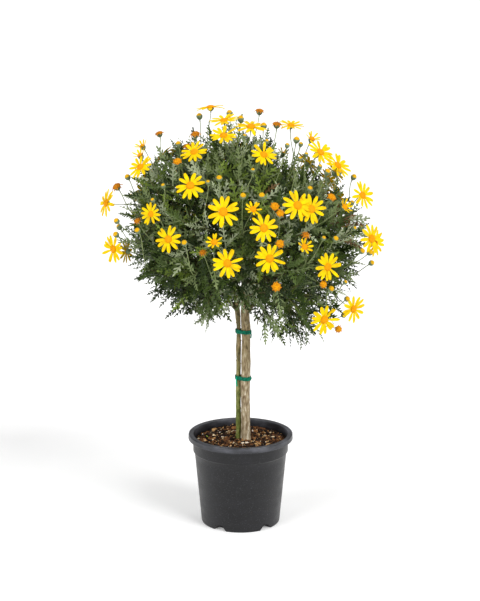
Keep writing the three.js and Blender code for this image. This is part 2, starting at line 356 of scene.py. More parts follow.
def finish(name, colours, grain, roughness, bump, stretch=(1, 1, 1), higher=None, flecks=None, **sockets):
    """A mottled finish in the object's own space. grain is (colour noise size, bump noise size) in
    millimetres, roughness is (low, high), bump is (strength, depth in millimetres) and stretch scales the
    pattern's axes. higher is (colours, low, high): the colours that take over between two heights in
    millimetres. flecks is (colour, size in millimetres, strength): small spots of another colour."""
    material = bpy.data.materials.new(name)
    material.use_nodes = True
    tree = material.node_tree
    shader = tree.nodes["Principled BSDF"]
    place = tree.nodes.new("ShaderNodeTexCoord").outputs["Object"]
    mapping = tree.nodes.new("ShaderNodeMapping")
    mapping.inputs["Scale"].default_value = stretch
    tree.links.new(place, mapping.inputs["Vector"])
    pattern = mapping.outputs["Vector"]
    mottle = noise_node(tree, pattern, grain[0]).outputs["Fac"]
    colour = ramp_node(tree, mottle, colours).outputs["Color"]
    if higher:
        parts = tree.nodes.new("ShaderNodeSeparateXYZ")
        tree.links.new(place, parts.inputs["Vector"])
        share = range_node(tree, parts.outputs["Z"], (higher[1] * MM, higher[2] * MM), (0.0, 1.0))
        colour = mix_colours(tree, share, colour, ramp_node(tree, mottle, higher[0]).outputs["Color"])
    if flecks:
        spots = noise_node(tree, pattern, flecks[1], detail=2.0).outputs["Fac"]
        cover = range_node(tree, spots, FLECK_EDGE, (0.0, flecks[2]))
        colour = mix_colours(tree, cover, colour, flecks[0])
    tree.links.new(colour, shader.inputs["Base Color"])
    tree.links.new(range_node(tree, mottle, MOTTLE_SPAN, roughness), shader.inputs["Roughness"])
    relief = noise_node(tree, pattern, grain[1])
    bumps = tree.nodes.new("ShaderNodeBump")
    bumps.inputs["Strength"].default_value = bump[0]
    bumps.inputs["Distance"].default_value = bump[1] * MM
    tree.links.new(relief.outputs["Fac"], bumps.inputs["Height"])
    tree.links.new(bumps.outputs["Normal"], shader.inputs["Normal"])
    for socket, value in sockets.items():
        shader.inputs[socket.replace("_", " ")].default_value = value
    return material


# %% Floor
# Half of the floor's side in metres, and the share of its own light.
FLOOR_HALF = 500.0
FLOOR_GLOW = 0.2
floor_finish = finish(
    "white paper floor",
    [tint(246, 246, 246), tint(249, 249, 249)],
    (90, 4),
    (0.85, 0.95),
    (0.05, 0.2),
    Specular_IOR_Level=0.1,
    Emission_Color=(1.0, 1.0, 1.0, 1.0),
    Emission_Strength=FLOOR_GLOW,
)
floor_mesh = bpy.data.meshes.new("floor")
floor_corners = [(-FLOOR_HALF, -FLOOR_HALF, 0), (FLOOR_HALF, -FLOOR_HALF, 0)]
floor_corners += [(FLOOR_HALF, FLOOR_HALF, 0), (-FLOOR_HALF, FLOOR_HALF, 0)]
floor_mesh.from_pydata(floor_corners, [], [(0, 1, 2, 3)])
floor_mesh.materials.append(floor_finish)
floor = bpy.data.objects.new("floor", floor_mesh)
bpy.context.scene.collection.objects.link(floor)
floor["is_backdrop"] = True
print("floor:", round(2 * FLOOR_HALF), "m square")

# %% [markdown]
# ## The pot
#
# A nursery pot is one thin moulding of black plastic: a flat base on five feet with drainage notches
# between them, a wall that widens upwards, a step out to a straight band, and a broad rolled lip. A turned
# profile gives all of it except the notches. Cutting them with a boolean would leave long thin faces, so
# the grid's columns are laid along the notches' edges instead, and inside a notch the profile takes
# another way: up the pocket's back and out under its roof.

# %% Pot sizes, from the solids
POT_HIGH = np.array(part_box("pot")[1]) / MM
POT_TOP = POT_HIGH[2]
LIP_RADIUS = POT_HIGH[0]
FOOT_RADIUS = 71.6
TAPER = 0.0925
BAND_LOW, BAND_HIGH, BAND_RADIUS = 131.0, 135.0, 86.3
LIP_LOW = 156.5
WALL = 1.6
POT_FLOOR = 12.0
# Radii of the band's shoulder, the cove under the lip, and the lip's lower, outer and inner edges.
ROUNDINGS = (1.6, 1.5, 1.2, 2.2, 1.6)
FOOT_CORNER = 1.3
NOTCH = {"count": 5, "height": 10.0, "low_half": 13.0, "high_half": 6.0, "depth": 15.0}
FRONT_FOOT = math.radians(4.0)
print("pot:", round(POT_TOP, 1), "high,", round(2 * LIP_RADIUS, 1), "across the lip")


# %% Pot profile
def bend(centre, radius, start, end, steps=5):
    """Points of an arc round a centre, from one angle to another in degrees."""
    angles = np.radians(np.linspace(start, end, steps))
    return np.stack([centre[0] + radius * np.cos(angles), centre[1] + radius * np.sin(angles)], axis=-1)


def straight(start, end, steps):
    """Evenly spaced points from one point to another, without the first one."""
    t = np.linspace(0.0, 1.0, steps + 1)[1:, None]
    return np.array(start) * (1 - t) + np.array(end) * t


def wall_radius(height):
    """The outside of the pot's plain wall: its foot radius plus its taper times the height."""
    return FOOT_RADIUS + TAPER * height


def upper_profile():
    """From above the feet up the wall, over the step, round the lip and down the inside to the floor."""
    shoulder, cove, under_edge, outer_edge, inner_edge = ROUNDINGS
    inner = BAND_RADIUS - WALL
    lip_inner = inner + 0.6
    foot_top = (wall_radius(NOTCH["height"]), NOTCH["height"])
    band_foot = (wall_radius(BAND_LOW), BAND_LOW)
    inner_foot = (wall_radius(BAND_LOW) - WALL, BAND_LOW)
    floor_edge = (wall_radius(POT_FLOOR) - WALL, POT_FLOOR)
    parts = [
        straight(foot_top, band_foot, 12),
        straight(band_foot, (BAND_RADIUS - 0.5, BAND_LOW + 2.6), 3),
        bend((BAND_RADIUS - shoulder, BAND_LOW + 3.4), shoulder, -30, 0, 3),
        straight((BAND_RADIUS, BAND_HIGH), (BAND_RADIUS + 0.3, LIP_LOW - cove), 5),
        bend((BAND_RADIUS + 0.3 + cove, LIP_LOW - cove), cove, 180, 90, 4),
        straight((BAND_RADIUS + 2.0, LIP_LOW), (LIP_RADIUS - 1.4, LIP_LOW - 0.6), 2),
        bend((LIP_RADIUS - under_edge, LIP_LOW + 0.6), under_edge, -80, 0, 4),
        straight((LIP_RADIUS, LIP_LOW + under_edge), (LIP_RADIUS - 0.3, POT_TOP - outer_edge - 0.4), 3),
        bend((LIP_RADIUS - outer_edge - 0.3, POT_TOP - outer_edge), outer_edge, 5, 84, 6),
        straight((LIP_RADIUS - outer_edge - 1.0, POT_TOP - 0.05), (lip_inner + 1.8, POT_TOP - 0.7), 3),
        bend((lip_inner + inner_edge, POT_TOP - inner_edge - 0.7), inner_edge, 95, 180, 5),
        straight((lip_inner, POT_TOP - 3.0), (inner, BAND_HIGH), 5),
        straight((inner, BAND_HIGH), inner_foot, 3),
        straight(inner_foot, floor_edge, 4),
        straight(floor_edge, (0.0, POT_FLOOR), 3),
    ]
    return np.concatenate(parts)


def foot_profile(in_notch):
    """From the middle of the base to the wall above the feet. On a foot it runs out under the base, round
    the corner and up the wall; in a notch it runs up the pocket's back and out under the pocket's roof."""
    pocket = FOOT_RADIUS - NOTCH["depth"]
    top = (wall_radius(NOTCH["height"]), NOTCH["height"])
    middle = np.array([(0.0, 0.0), (pocket / 2, 0.0), (pocket, 0.0)])
    if in_notch:
        back = straight((pocket, 0.0), (pocket, NOTCH["height"]), 4)
        return np.concatenate([middle, back, straight((pocket, NOTCH["height"]), top, 8)])
    under = straight((pocket, 0.0), (FOOT_RADIUS - FOOT_CORNER, 0.0), 4)
    turn = bend((FOOT_RADIUS - FOOT_CORNER, FOOT_CORNER), FOOT_CORNER, -72, 0, 4)
    return np.concatenate([middle, under, turn, straight((FOOT_RADIUS + 0.1, FOOT_CORNER), top, 4)])


# %% Pot surface
WELD_GAP = 0.02


def pot_surface(foot_columns=26, notch_columns=8):
    """Grid of profile rows and columns round the axis. A column's bearing is its share of the way across
    its foot or notch, whose edges lean in with height, and its profile is the foot's or the notch's."""
    upper = upper_profile()
    foot = np.concatenate([foot_profile(False), upper])
    notch = np.concatenate([foot_profile(True), upper])
    sector = 2 * np.pi / NOTCH["count"]
    bearings, profiles = [], []
    for i in range(NOTCH["count"]):
        centre = -np.pi / 2 + FRONT_FOOT + i * sector
        for share in np.linspace(-1, 1, foot_columns):
            edge = sector / 2 - notch_half(foot)
            bearings.append(centre + share * edge)
            profiles.append(foot)
        for share in np.linspace(-1, 1, notch_columns):
            bearings.append(centre + sector / 2 + share * notch_half(notch))
            profiles.append(notch)
    bearing = np.stack(bearings, axis=1)
    radius, height = np.moveaxis(np.stack(profiles, axis=1), -1, 0)
    points = np.stack([radius * np.cos(bearing), radius * np.sin(bearing), height], axis=-1)
    rows, columns = bearing.shape
    return points.reshape(-1, 3), [grid_faces(rows, columns, wrap=True)[:, ::-1]]


def notch_half(profile):
    """Half of a notch's opening as an angle, for each profile row: its half width at that height over
    the foot's radius. Above the notches it keeps its last value."""
    rise = np.clip(profile[:, 1] / NOTCH["height"], 0.0, 1.0)
    half = NOTCH["low_half"] + (NOTCH["high_half"] - NOTCH["low_half"]) * rise
    return half / FOOT_RADIUS


def weld(piece, sharp_degrees):
    """Merges points that lie together, turns faces outwards and marks the sharp edges."""
    bpy.context.view_layer.update()
    form = bmesh.new()
    form.from_mesh(piece.data)
    bmesh.ops.remove_doubles(form, verts=form.verts, dist=WELD_GAP * MM)
    bmesh.ops.recalc_face_normals(form, faces=form.faces)
    form.to_mesh(piece.data)
    form.free()
    piece.data.set_sharp_from_angle(angle=math.radians(sharp_degrees))


# %% Pot plastic and the pot
pot_plastic = finish(
    "black nursery plastic",
    [tint(9, 9, 12), tint(14, 14, 17), tint(20, 20, 24)],
    (14, 0.9),
    (0.32, 0.44),
    (0.6, 0.28),
    stretch=(0.45, 0.45, 1),
    # The lighter greys above 150 mm are painted light: a painted highlight on the lip, and painted light on
    # the top of the inner wall where the crown shades it.
    higher=([tint(40, 41, 45), tint(58, 59, 64), tint(84, 85, 92)], 150.0, 162.0),
    flecks=(tint(96, 97, 104), 1.3, 0.2),
    Specular_IOR_Level=0.4,
)
pot_pile = Pile()
pot_pile.add(*pot_surface())
pot_piece = pot_pile.build("pot_moulding", [pot_plastic], "pot_plastic", ["pot"])
weld(pot_piece, 38)

# %% [markdown]
# ## The potting mix
#
# The mix is composted bark: a dark uneven bed with chips of brown and tan bark, pale fibres, white grains
# of perlite, a few green scraps and two pale stones by the stems. A bumped disc alone looks like a carpet,
# so the bed is one closed turned surface with waves on its top, and each chip is a real small stone-like
# form of twenty faces, stretched, flattened and turned by seeded numbers.

# %% Stem lines from the solids
def node_points(name):
    """A CAD node's corners in millimetres."""
    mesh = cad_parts[name].data
    flat = np.empty(len(mesh.vertices) * 3, np.float32)
    mesh.vertices.foreach_get("co", flat)
    return flat.reshape(-1, 3).astype(float) / MM


def ring_line(name, gap=4.0):
    """The rings of an upright stem's solid: its corners are sorted by height and split where the height
    jumps, and each ring gives a centre and a radius."""
    points = node_points(name)
    points = points[np.argsort(points[:, 2])]
    cuts = np.flatnonzero(np.diff(points[:, 2]) > gap) + 1
    rings = [(r.min(0) + r.max(0)) / 2 for r in np.split(points, cuts)]
    radii = [np.ptp(r[:, :2], axis=0).max() / 2 for r in np.split(points, cuts)]
    return np.array(rings), np.array(radii)


STEM_LINES = {name: ring_line(name) for name in ("trunk", "second_stem")}


def stem_at(name, heights):
    """Centres and radii of a stem at the given heights, along straight lines between its rings."""
    rings, radii = STEM_LINES[name]
    centres = [np.interp(heights, rings[:, 2], rings[:, k]) for k in range(2)]
    return np.stack([*centres, np.asarray(heights, float)], axis=-1), np.interp(heights, rings[:, 2], radii)


for stem_name, (stem_rings, stem_radii) in STEM_LINES.items():
    print(stem_name, len(stem_rings), "rings, radius", stem_radii.round(1))

# %% Bed of the mix
SOIL_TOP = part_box("potting_mix")[1][2] / MM
SOIL_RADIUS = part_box("potting_mix")[1][0] / MM
SOIL_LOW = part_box("potting_mix")[0][2] / MM
BED_SINK = 2.4
BED_RISE = 0.03
BED_CLEARANCE = 0.3


def bed_height(x, y):
    """Height of the mix under the chips: a little below the solid's top, uneven by about a millimetre and
    rising slightly to the back."""
    uneven = 0.9 * waves(x / 9, y / 9, seed=11) + 0.5 * waves(x / 3.2, y / 3.2, seed=12)
    return SOIL_TOP - BED_SINK + BED_RISE * y + uneven


def bed_surface(rings=46, columns=120):
    """Closed turned bed: rows of growing radius over the top, then down the side and in below."""
    side = [wall_radius(height) - WALL - BED_CLEARANCE for height in (BAND_LOW, SOIL_LOW)]
    radius = np.concatenate([np.linspace(0, SOIL_RADIUS, rings), side, [0.0]])
    a = 2 * np.pi * np.arange(columns) / columns
    x, y = radius[:, None] * np.cos(a), radius[:, None] * np.sin(a)
    z = bed_height(x, y)
    z[rings] = BAND_LOW
    z[rings + 1 :] = SOIL_LOW
    return np.stack([x, y, z], -1).reshape(-1, 3), [grid_faces(len(radius), columns, wrap=True)]


mix_finish = finish(
    "composted bark",
    [tint(15, 9, 5), tint(34, 20, 11), tint(66, 42, 24)],
    (3, 1.2),
    (0.85, 1.0),
    (0.9, 1.2),
    Specular_IOR_Level=0.15,
)
bed_pile = Pile()
bed_pile.add(*bed_surface())
bed_piece = bed_pile.build("potting_mix_bed", [mix_finish], "potting_mix", ["potting_mix"])
weld(bed_piece, 60)


# %% Chips, fibres, perlite and stones
def pebble_shape():
    """The twelve corners and twenty faces of an icosahedron of unit radius."""
    g = (1 + math.sqrt(5)) / 2
    corners = [(-1, g, 0), (1, g, 0), (-1, -g, 0), (1, -g, 0), (0, -1, g), (0, 1, g)]
    corners += [(0, -1, -g), (0, 1, -g), (g, 0, -1), (g, 0, 1), (-g, 0, -1), (-g, 0, 1)]
    faces = [(0, 11, 5), (0, 5, 1), (0, 1, 7), (0, 7, 10), (0, 10, 11), (1, 5, 9), (5, 11, 4)]
    faces += [(11, 10, 2), (10, 7, 6), (7, 1, 8), (3, 9, 4), (3, 4, 2), (3, 2, 6), (3, 6, 8)]
    faces += [(3, 8, 9), (4, 9, 5), (2, 4, 11), (6, 2, 10), (8, 6, 7), (9, 8, 1)]
    return unit(np.array(corners, float)), np.array(faces)


def pebbles(centres, sizes, turns, roughness, rng):
    """Many uneven pebbles: each corner of each copy is moved in or out by a seeded share, the copy is
    stretched to its three half sizes, turned and moved."""
    corners, faces = pebble_shape()
    n = len(centres)
    uneven = corners[None] * (1 + rng.uniform(-roughness, roughness, (n, len(corners), 1)))
    moved = np.einsum("nij,nvj->nvi", turns, uneven * sizes[:, None]) + centres[:, None]
    joined = (faces[None] + len(corners) * np.arange(n)[:, None, None]).reshape(-1, 3)
    return moved.reshape(-1, 3), [joined]


def turns_about_up(spin, tilt, rng):
    """Turning matrices: a spin about +Z after a small seeded tilt."""
    normal = unit(np.concatenate([rng.normal(0, tilt, (len(spin), 2)), np.ones((len(spin), 1))], axis=1))
    level = np.stack([np.cos(spin), np.sin(spin), np.zeros(len(spin))], axis=-1)
    first = unit(level - normal * (level * normal).sum(-1, keepdims=True))
    return np.stack([first, np.cross(normal, first), normal], axis=-1)


SCATTER = [
    # kind, count, half length, half width, half thickness, spread of size, tilt
    ("dark_chip", 700, 3.9, 2.3, 1.3, 0.5, 0.55),
    ("brown_chip", 540, 3.7, 2.1, 1.2, 0.5, 0.55),
    ("light_chip", 300, 3.4, 2.0, 1.1, 0.45, 0.55),
    ("tan_chip", 190, 3.2, 1.9, 1.1, 0.45, 0.55),
    ("cream_chip", 80, 2.7, 1.7, 1.0, 0.4, 0.5),
    ("fibre", 90, 6.5, 0.7, 0.5, 0.4, 0.25),
    ("perlite", 60, 1.6, 1.4, 1.2, 0.35, 0.5),
    ("green_scrap", 22, 3.4, 2.0, 0.4, 0.4, 0.4),
]
SCATTER_TINTS = {
    "dark_chip": [tint(16, 9, 5), tint(40, 24, 13)],
    "brown_chip": [tint(60, 36, 19), tint(104, 67, 38)],
    "light_chip": [tint(108, 70, 36), tint(150, 104, 60)],
    "tan_chip": [tint(160, 118, 72), tint(202, 162, 110)],
    "cream_chip": [tint(206, 180, 140), tint(234, 216, 184)],
    "fibre": [tint(158, 126, 82), tint(200, 170, 122)],
    "perlite": [tint(210, 200, 182), tint(238, 230, 218)],
    "green_scrap": [tint(96, 128, 26), tint(160, 176, 76)],
}
# How far the chips stay from the pot's wall, and the least and the greatest scale of a chip.
WALL_CLEARANCE = 2.0
SIZE_LIMITS = (0.45, 1.9)
# How high a chip's middle lies over the bed, in half thicknesses of the chip.
LIE = (0.2, 1.3)


def scatter_pile():
    """Pebbles of each kind over the bed, evenly by area, clear of the wall, resting on the surface."""
    rng = np.random.default_rng(21)
    pile = Pile()
    for number, (_, count, length, width, thick, spread, tilt) in enumerate(SCATTER):
        scale = np.exp(rng.normal(0, spread * 0.6, (count, 1)))
        sizes = np.array([length, width, thick]) * np.clip(scale, *SIZE_LIMITS)
        radius = (SOIL_RADIUS - WALL_CLEARANCE - sizes[:, 0]) * np.sqrt(rng.uniform(0.0, 1.0, count))
        bearing = rng.uniform(0, 2 * np.pi, count)
        x, y = radius * np.cos(bearing), radius * np.sin(bearing)
        z = bed_height(x, y) + sizes[:, 2] * rng.uniform(*LIE, count)
        turns = turns_about_up(rng.uniform(0, 2 * np.pi, count), tilt, rng)
        pile.add(*pebbles(np.stack([x, y, z], -1), sizes, turns, 0.3, rng), material=number)
    return pile


scatter_finishes = [
    finish(kind.replace("_", " "), colours, (2.5, 0.8), (0.75, 0.95), (0.6, 0.4), Specular_IOR_Level=0.2)
    for kind, colours in SCATTER_TINTS.items()
]
scatter_pile().build("bark_chips", scatter_finishes, "potting_mix", smooth=False)

# Places of the two stones, with their heights over the top of the mix, and their half sizes and spins.
STONE_PLACES = np.array([(3.4, -25.0, 0.6), (11.2, -24.0, 0.8)]) + np.array([0, 0, SOIL_TOP])
STONE_SIZES = np.array([(4.6, 3.2, 2.4), (5.2, 3.8, 2.8)])
STONE_SPINS = np.array([0.4, -0.3])
stone_rng = np.random.default_rng(5)
stone_turns = turns_about_up(STONE_SPINS, 0.1, stone_rng)
stone_tints = [tint(196, 178, 152), tint(232, 220, 200)]
stone_finish = finish("pale stone", stone_tints, (3, 0.8), (0.6, 0.8), (0.3, 0.3))
stone_pile = Pile()
stone_pile.add(*pebbles(STONE_PLACES, STONE_SIZES, stone_turns, 0.12, stone_rng))
stones = stone_pile.build("stones", [stone_finish], "potting_mix")
rounding = stones.modifiers.new("rounding", "SUBSURF")
rounding.levels = 2
rounding.render_levels = 2

# %% [markdown]
# ## Stems and boughs
#
# Two bare stems stand side by side: a thicker one with grey-beige furrowed bark and a thinner one, still
# green low down, with rows of old leaf scars. Bark needs real relief, because its outline shows against
# the light, so each stem is a fine grid along its solid's line whose radius carries furrows, scars and
# warts, with finer grain left to the bump.

# %% Bark relief
# Furrows have from 2 to 8 waves round a stem. Their places wander by some radians over some millimetres
# of height, and the last number sets how wide a valley is.
FURROW = {"waves": range(2, 9), "wander": 2.2, "height": 34.0, "valley": 0.42}
SCAR_TURN = 2.4


def furrows(bearing, height, seed):
    """Long upright furrows: waves that change slowly with height and quickly round the stem, folded so
    that they have broad ridges and narrow valleys: 0.5 - e to the power of -(field / valley) squared."""
    field = 0.0
    rng = np.random.default_rng(seed)
    for k in FURROW["waves"]:
        wander = FURROW["wander"] * waves(height / FURROW["height"], seed=seed + k, count=6)
        field = field + np.cos(k * bearing + (rng.uniform(0, 2 * np.pi) + wander)) / math.sqrt(k)
    return 0.5 - np.exp(-((field / FURROW["valley"]) ** 2))


def spots(bearing, height, radius, places, size):
    """A sum of soft bumps at (bearing, height, strength) places; size is (half width, half height) in mm."""
    relief = 0.0
    for b, h, strength in places:
        turn = np.angle(np.exp(1j * (bearing - b))) * radius
        relief = relief + strength * np.exp(-((turn / size[0]) ** 2) - ((height - h) / size[1]) ** 2)
    return relief


def spiral_places(low, high, spacing, seed, strength):
    """Places up a stem at even spacing, each turned on by about the golden angle, with seeded
    unevenness, as (bearing, height, strength)."""
    rng = np.random.default_rng(seed)
    even = np.arange(low, high, spacing)
    heights = even + rng.uniform(-0.3, 0.3, len(even)) * spacing
    bearings = SCAR_TURN * np.arange(len(heights)) + rng.normal(0, 0.3, len(heights))
    return np.stack([bearings, heights, strength * rng.uniform(0.5, 1.3, len(heights))], axis=-1)


# %% Stem meshes
STEM_SINK = 2.0
STEM_STEP = 0.75
STEM_ROUNDING = 3.0


def stem_piece(name, piece_name, material, slot, sides, relief):
    """A stem along its solid's line from just inside the mix to its tip, with relief(bearing, height,
    radius) added to the radius and the last millimetres rounded off."""
    low, high = STEM_LINES[name][0][[0, -1], 2]
    heights = np.arange(low - STEM_SINK, high, STEM_STEP)
    centres, radii = stem_at(name, heights)
    a = 2 * np.pi * np.arange(sides) / sides
    bearing, height = np.meshgrid(a, heights)
    uneven = radii[:, None] + relief(bearing, height, radii[:, None])
    past = np.clip((heights - high + STEM_ROUNDING) / STEM_ROUNDING, 0, 1)
    rounded = np.sqrt(np.clip(1 - past**2, 0.02, 1))
    pile = Pile()
    pile.add(*tubes(centres[None], (uneven * rounded[:, None])[None]))
    return pile.build(piece_name, [material], slot, [name])


def trunk_relief(bearing, height, radius):
    """Furrows, warts in a spiral and broad unevenness, with a torn snag on the right under the leaves."""
    warts = spiral_places(170, 450, 19, seed=3, strength=0.55)
    snag = [(0.15, 368.0, 3.6), (0.1, 373.0, 2.4)]
    relief = 0.26 * furrows(bearing, height, seed=31)
    relief = relief + 0.4 * waves(np.cos(bearing) * 1.5, np.sin(bearing) * 1.5, height / 14.0, seed=32)
    relief = relief + spots(bearing, height, radius, warts, (1.6, 2.2))
    return relief + spots(bearing, height, radius, snag, (2.4, 3.0))


def second_relief(bearing, height, radius):
    """Old leaf scars: each is a small shelf with a dent above it, up the stem in a spiral."""
    scars = spiral_places(165, 430, 9, seed=4, strength=1.0)
    dents = scars * np.array([1, 1, -0.7]) + np.array([0, 3.0, 0])
    relief = 0.16 * furrows(bearing, height, seed=41)
    relief = relief + 0.3 * waves(np.cos(bearing) * 1.2, np.sin(bearing) * 1.2, height / 9.0, seed=42)
    relief = relief + spots(bearing, height, radius, scars, (1.9, 1.1))
    return relief + spots(bearing, height, radius, dents, (1.6, 1.4))


trunk_bark = finish(
    "grey beige bark",
    [tint(104, 84, 56), tint(146, 128, 98), tint(174, 158, 128), tint(218, 208, 184)],
    (3.2, 0.6),
    (0.75, 0.95),
    (0.7, 0.4),
    stretch=(1, 1, 0.25),
    # The upper colours, from 250 to 330 mm, are partly the browner bark there and partly painted light, kept
    # light against the shade that the crown casts on the top of the trunk.
    higher=([tint(94, 78, 48), tint(138, 120, 84), tint(164, 146, 108), tint(196, 182, 148)], 250.0, 330.0),
    flecks=(tint(94, 66, 40), 2.0, 0.55),
)
green_bark = finish(
    "greenish bark",
    [tint(66, 74, 24), tint(104, 116, 44), tint(128, 134, 66), tint(152, 150, 96)],
    (4, 0.5),
    (0.6, 0.85),
    (0.6, 0.35),
    stretch=(1, 1, 0.35),
    higher=([tint(70, 62, 30), tint(116, 106, 62), tint(150, 132, 90), tint(180, 160, 120)], 220.0, 320.0),
    flecks=(tint(40, 34, 16), 2.0, 0.7),
)
stem_piece("trunk", "trunk_bark", trunk_bark, "trunk_bark", 72, trunk_relief)
stem_piece("second_stem", "second_stem_bark", green_bark, "second_stem_bark", 48, second_relief)

# %% Boughs
MASSES = sorted(n.removeprefix("foliage_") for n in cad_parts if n.startswith("foliage_"))
# The share of a bough's corners that counts as either end, the height of the slice at its tip, and how far
# below its foot it starts inside the stem, for an upright bough and for the others.
END_SHARE = 0.08
END_RING = 2.5
BOUGH_SINK = {True: 2.0, False: 6.0}


def stem_of(bough):
    """The name of the stem that a bough's solid comes nearest to."""
    points = node_points(f"bough_{bough}")
    nearest = []
    for name in STEM_LINES:
        centres, _ = stem_at(name, points[:, 2])
        away = np.linalg.norm(points - centres, axis=1)
        nearest.append((away.min(), name))
    return min(nearest)[1]


def bough_line(bough, steps=18):
    """A bough's axis: it starts on its stem's axis, passes the middle of its solid and ends at the
    solid's tip. A curve of second degree goes through the three. The top bough stands over its stem, so
    for it the height counts as distance too."""
    upright = bough == "top"
    points = node_points(f"bough_{bough}")
    stem = stem_of(bough)
    centres, _ = stem_at(stem, points[:, 2])
    away = np.linalg.norm((points - centres)[:, :2], axis=1) + (0.5 * points[:, 2] if upright else 0)
    near = points[away < np.quantile(away, END_SHARE)].mean(0)
    far = points[away > np.quantile(away, 1 - END_SHARE)].mean(0)
    along = (points - near) @ unit(far - near)
    ring = points[along > along.max() - END_RING]
    end = (ring.min(0) + ring.max(0)) / 2
    start = stem_at(stem, [near[2] - BOUGH_SINK[upright]])[0][0]
    chord = (points - start) @ unit(end - start) / np.linalg.norm(end - start)
    middle = points[np.abs(chord - 0.5) < 0.1].mean(0)
    knee = 2 * middle - (start + end) / 2
    t = np.linspace(0, 1, steps)[:, None]
    return (1 - t) ** 2 * start + 2 * t * (1 - t) * knee + t**2 * end


bough_bark = finish(
    "young bark",
    [tint(40, 36, 18), tint(80, 74, 40), tint(116, 106, 68)],
    (3, 0.6),
    (0.7, 0.9),
    (0.6, 0.4),
)
BOUGH_FOOT, BOUGH_TIP = 3.9, 2.6
BOUGH_LINES = {bough: bough_line(bough) for bough in MASSES}


def bough_piece(bough, number):
    """A tapering tube of uneven radius along the bough's line."""
    path = BOUGH_LINES[bough]
    rows, sides = len(path), 14
    taper = np.linspace(BOUGH_FOOT, BOUGH_TIP, rows)[:, None]
    bearing, row = np.meshgrid(2 * np.pi * np.arange(sides) / sides, np.arange(rows) * 4.0)
    relief = 0.35 * waves(np.cos(bearing) * 2, np.sin(bearing) * 2, row / 7, seed=50 + number)
    pile = Pile()
    pile.add(*tubes(path[None], (taper + relief)[None]))
    return pile.build(f"bough_bark_{bough}", [bough_bark], "bough_bark", [f"bough_{bough}"])


for bough_number, bough_name in enumerate(MASSES):
    bough_piece(bough_name, bough_number)

# %% [markdown]
# ## Plant ties
#
# Two green tapes bind the stems. A tape pulled tight round two round stems follows their hull: its
# outline's point for each direction lies on whichever stem reaches further that way. A rounded section
# is carried round that outline, twice at slightly different tilts, and short ends hang out.

# %% Ties
TIE = {"half_width": 3.4, "thickness": 0.8, "clearance": 0.35, "between_wraps": 0.75, "below_top": 3.5}
TAIL_SIDES = 10


def tie_outline(height, clearance, count=96):
    """Hull of both stems at a height: for each direction the further of centre + radius * direction."""
    a = 2 * np.pi * np.arange(count) / count
    direction = np.stack([np.cos(a), np.sin(a)], axis=-1)
    points, reach = [], []
    for name in STEM_LINES:
        centres, radii = stem_at(name, [height])
        points.append(centres[0, :2] + (radii[0] + clearance) * direction)
        reach.append((points[-1] * direction).sum(-1))
    further = np.argmax(reach, axis=0)
    return np.where(further[:, None] == 0, points[0], points[1]), direction


def tie_band(height, clearance, tilt, shift):
    """A closed band: a rounded flat section carried round the outline, leaning by tilt."""
    outline, direction = tie_outline(height, clearance)
    half, thick = TIE["half_width"], TIE["thickness"]
    a = np.linspace(0, 2 * np.pi, 16, endpoint=False)
    out = thick / 2 + thick / 2 * np.sign(np.cos(a)) * np.abs(np.cos(a)) ** 0.5
    high = half * np.sign(np.sin(a)) * np.abs(np.sin(a)) ** 0.35
    crease = 0.12 * waves(np.arange(len(outline)) / 4.0, seed=int(height), count=6)
    out = out[None] + crease[:, None]
    flat = outline[:, None] + direction[:, None] * out[..., None]
    z = height + shift + high[None] + tilt * (flat[..., 0] - outline[:, 0].mean())
    points = np.concatenate([flat, z[..., None]], axis=-1)
    count, around = points.shape[:2]
    faces = grid_faces(count + 1, around, wrap=True) % (count * around)
    return points.reshape(-1, 3), [faces[:, ::-1]]


def tape_end(path, half_width, thickness=0.5, steps=10):
    """A flat loose end along a path: a tube whose radius is that of an ellipse, half_width by thickness."""
    way = np.linspace(0, 1, len(path))
    fine = np.stack([np.interp(np.linspace(0, 1, steps), way, np.array(path)[:, k]) for k in range(3)], -1)
    a = 2 * np.pi * np.arange(TAIL_SIDES) / TAIL_SIDES
    section = 1 / np.sqrt((np.cos(a) / thickness) ** 2 + (np.sin(a) / half_width) ** 2)
    return tubes(fine[None], np.broadcast_to(section, (1, steps, TAIL_SIDES)))


tape_finish = finish(
    "green tie tape",
    [tint(0, 82, 62), tint(0, 108, 82), tint(0, 134, 102)],
    (4, 0.8),
    (0.4, 0.6),
    (0.3, 0.2),
    Specular_IOR_Level=0.12,
)
tape_tail_finish = finish(
    "bright tie tape end",
    [tint(0, 150, 110), tint(0, 184, 136)],
    (4, 0.8),
    (0.4, 0.6),
    (0.3, 0.2),
    Specular_IOR_Level=0.12,
)


def tie_piece(name, ends):
    """Two wraps, a pinched knot and the loose ends of one tie, where its solid is."""
    low, high = [np.array(c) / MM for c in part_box(name)]
    height = high[2] - TIE["below_top"]
    pile = Pile()
    pile.add(*tie_band(height, TIE["clearance"], 0.03, 0.0))
    pile.add(*tie_band(height, TIE["clearance"] + TIE["between_wraps"], -0.05, 0.4))
    for path, half_width, number in ends(low[0], high[0], height):
        pile.add(*tape_end(path, half_width), material=number)
    return pile.build(name + "_tape", [tape_finish, tape_tail_finish], "tie_tape", [name])


# Each end is a path, the tape's half width there and a material number.
def upper_ends(left, right, height):
    """A pinched knot at the right-hand side and a tail that hangs from it."""
    x = right - 0.6
    knot = [(x - 1.0, -2.5, height + 2.0), (x + 1.0, -1.0, height), (x - 0.5, 0.8, height - 2.4)]
    tail = [(x - 0.3, -0.6, height - 1), (x + 0.5, -1.4, height - 5), (x - 0.2, -1.8, height - 11)]
    return [(knot, 2.3, 0), (tail, 1.5, 0)]


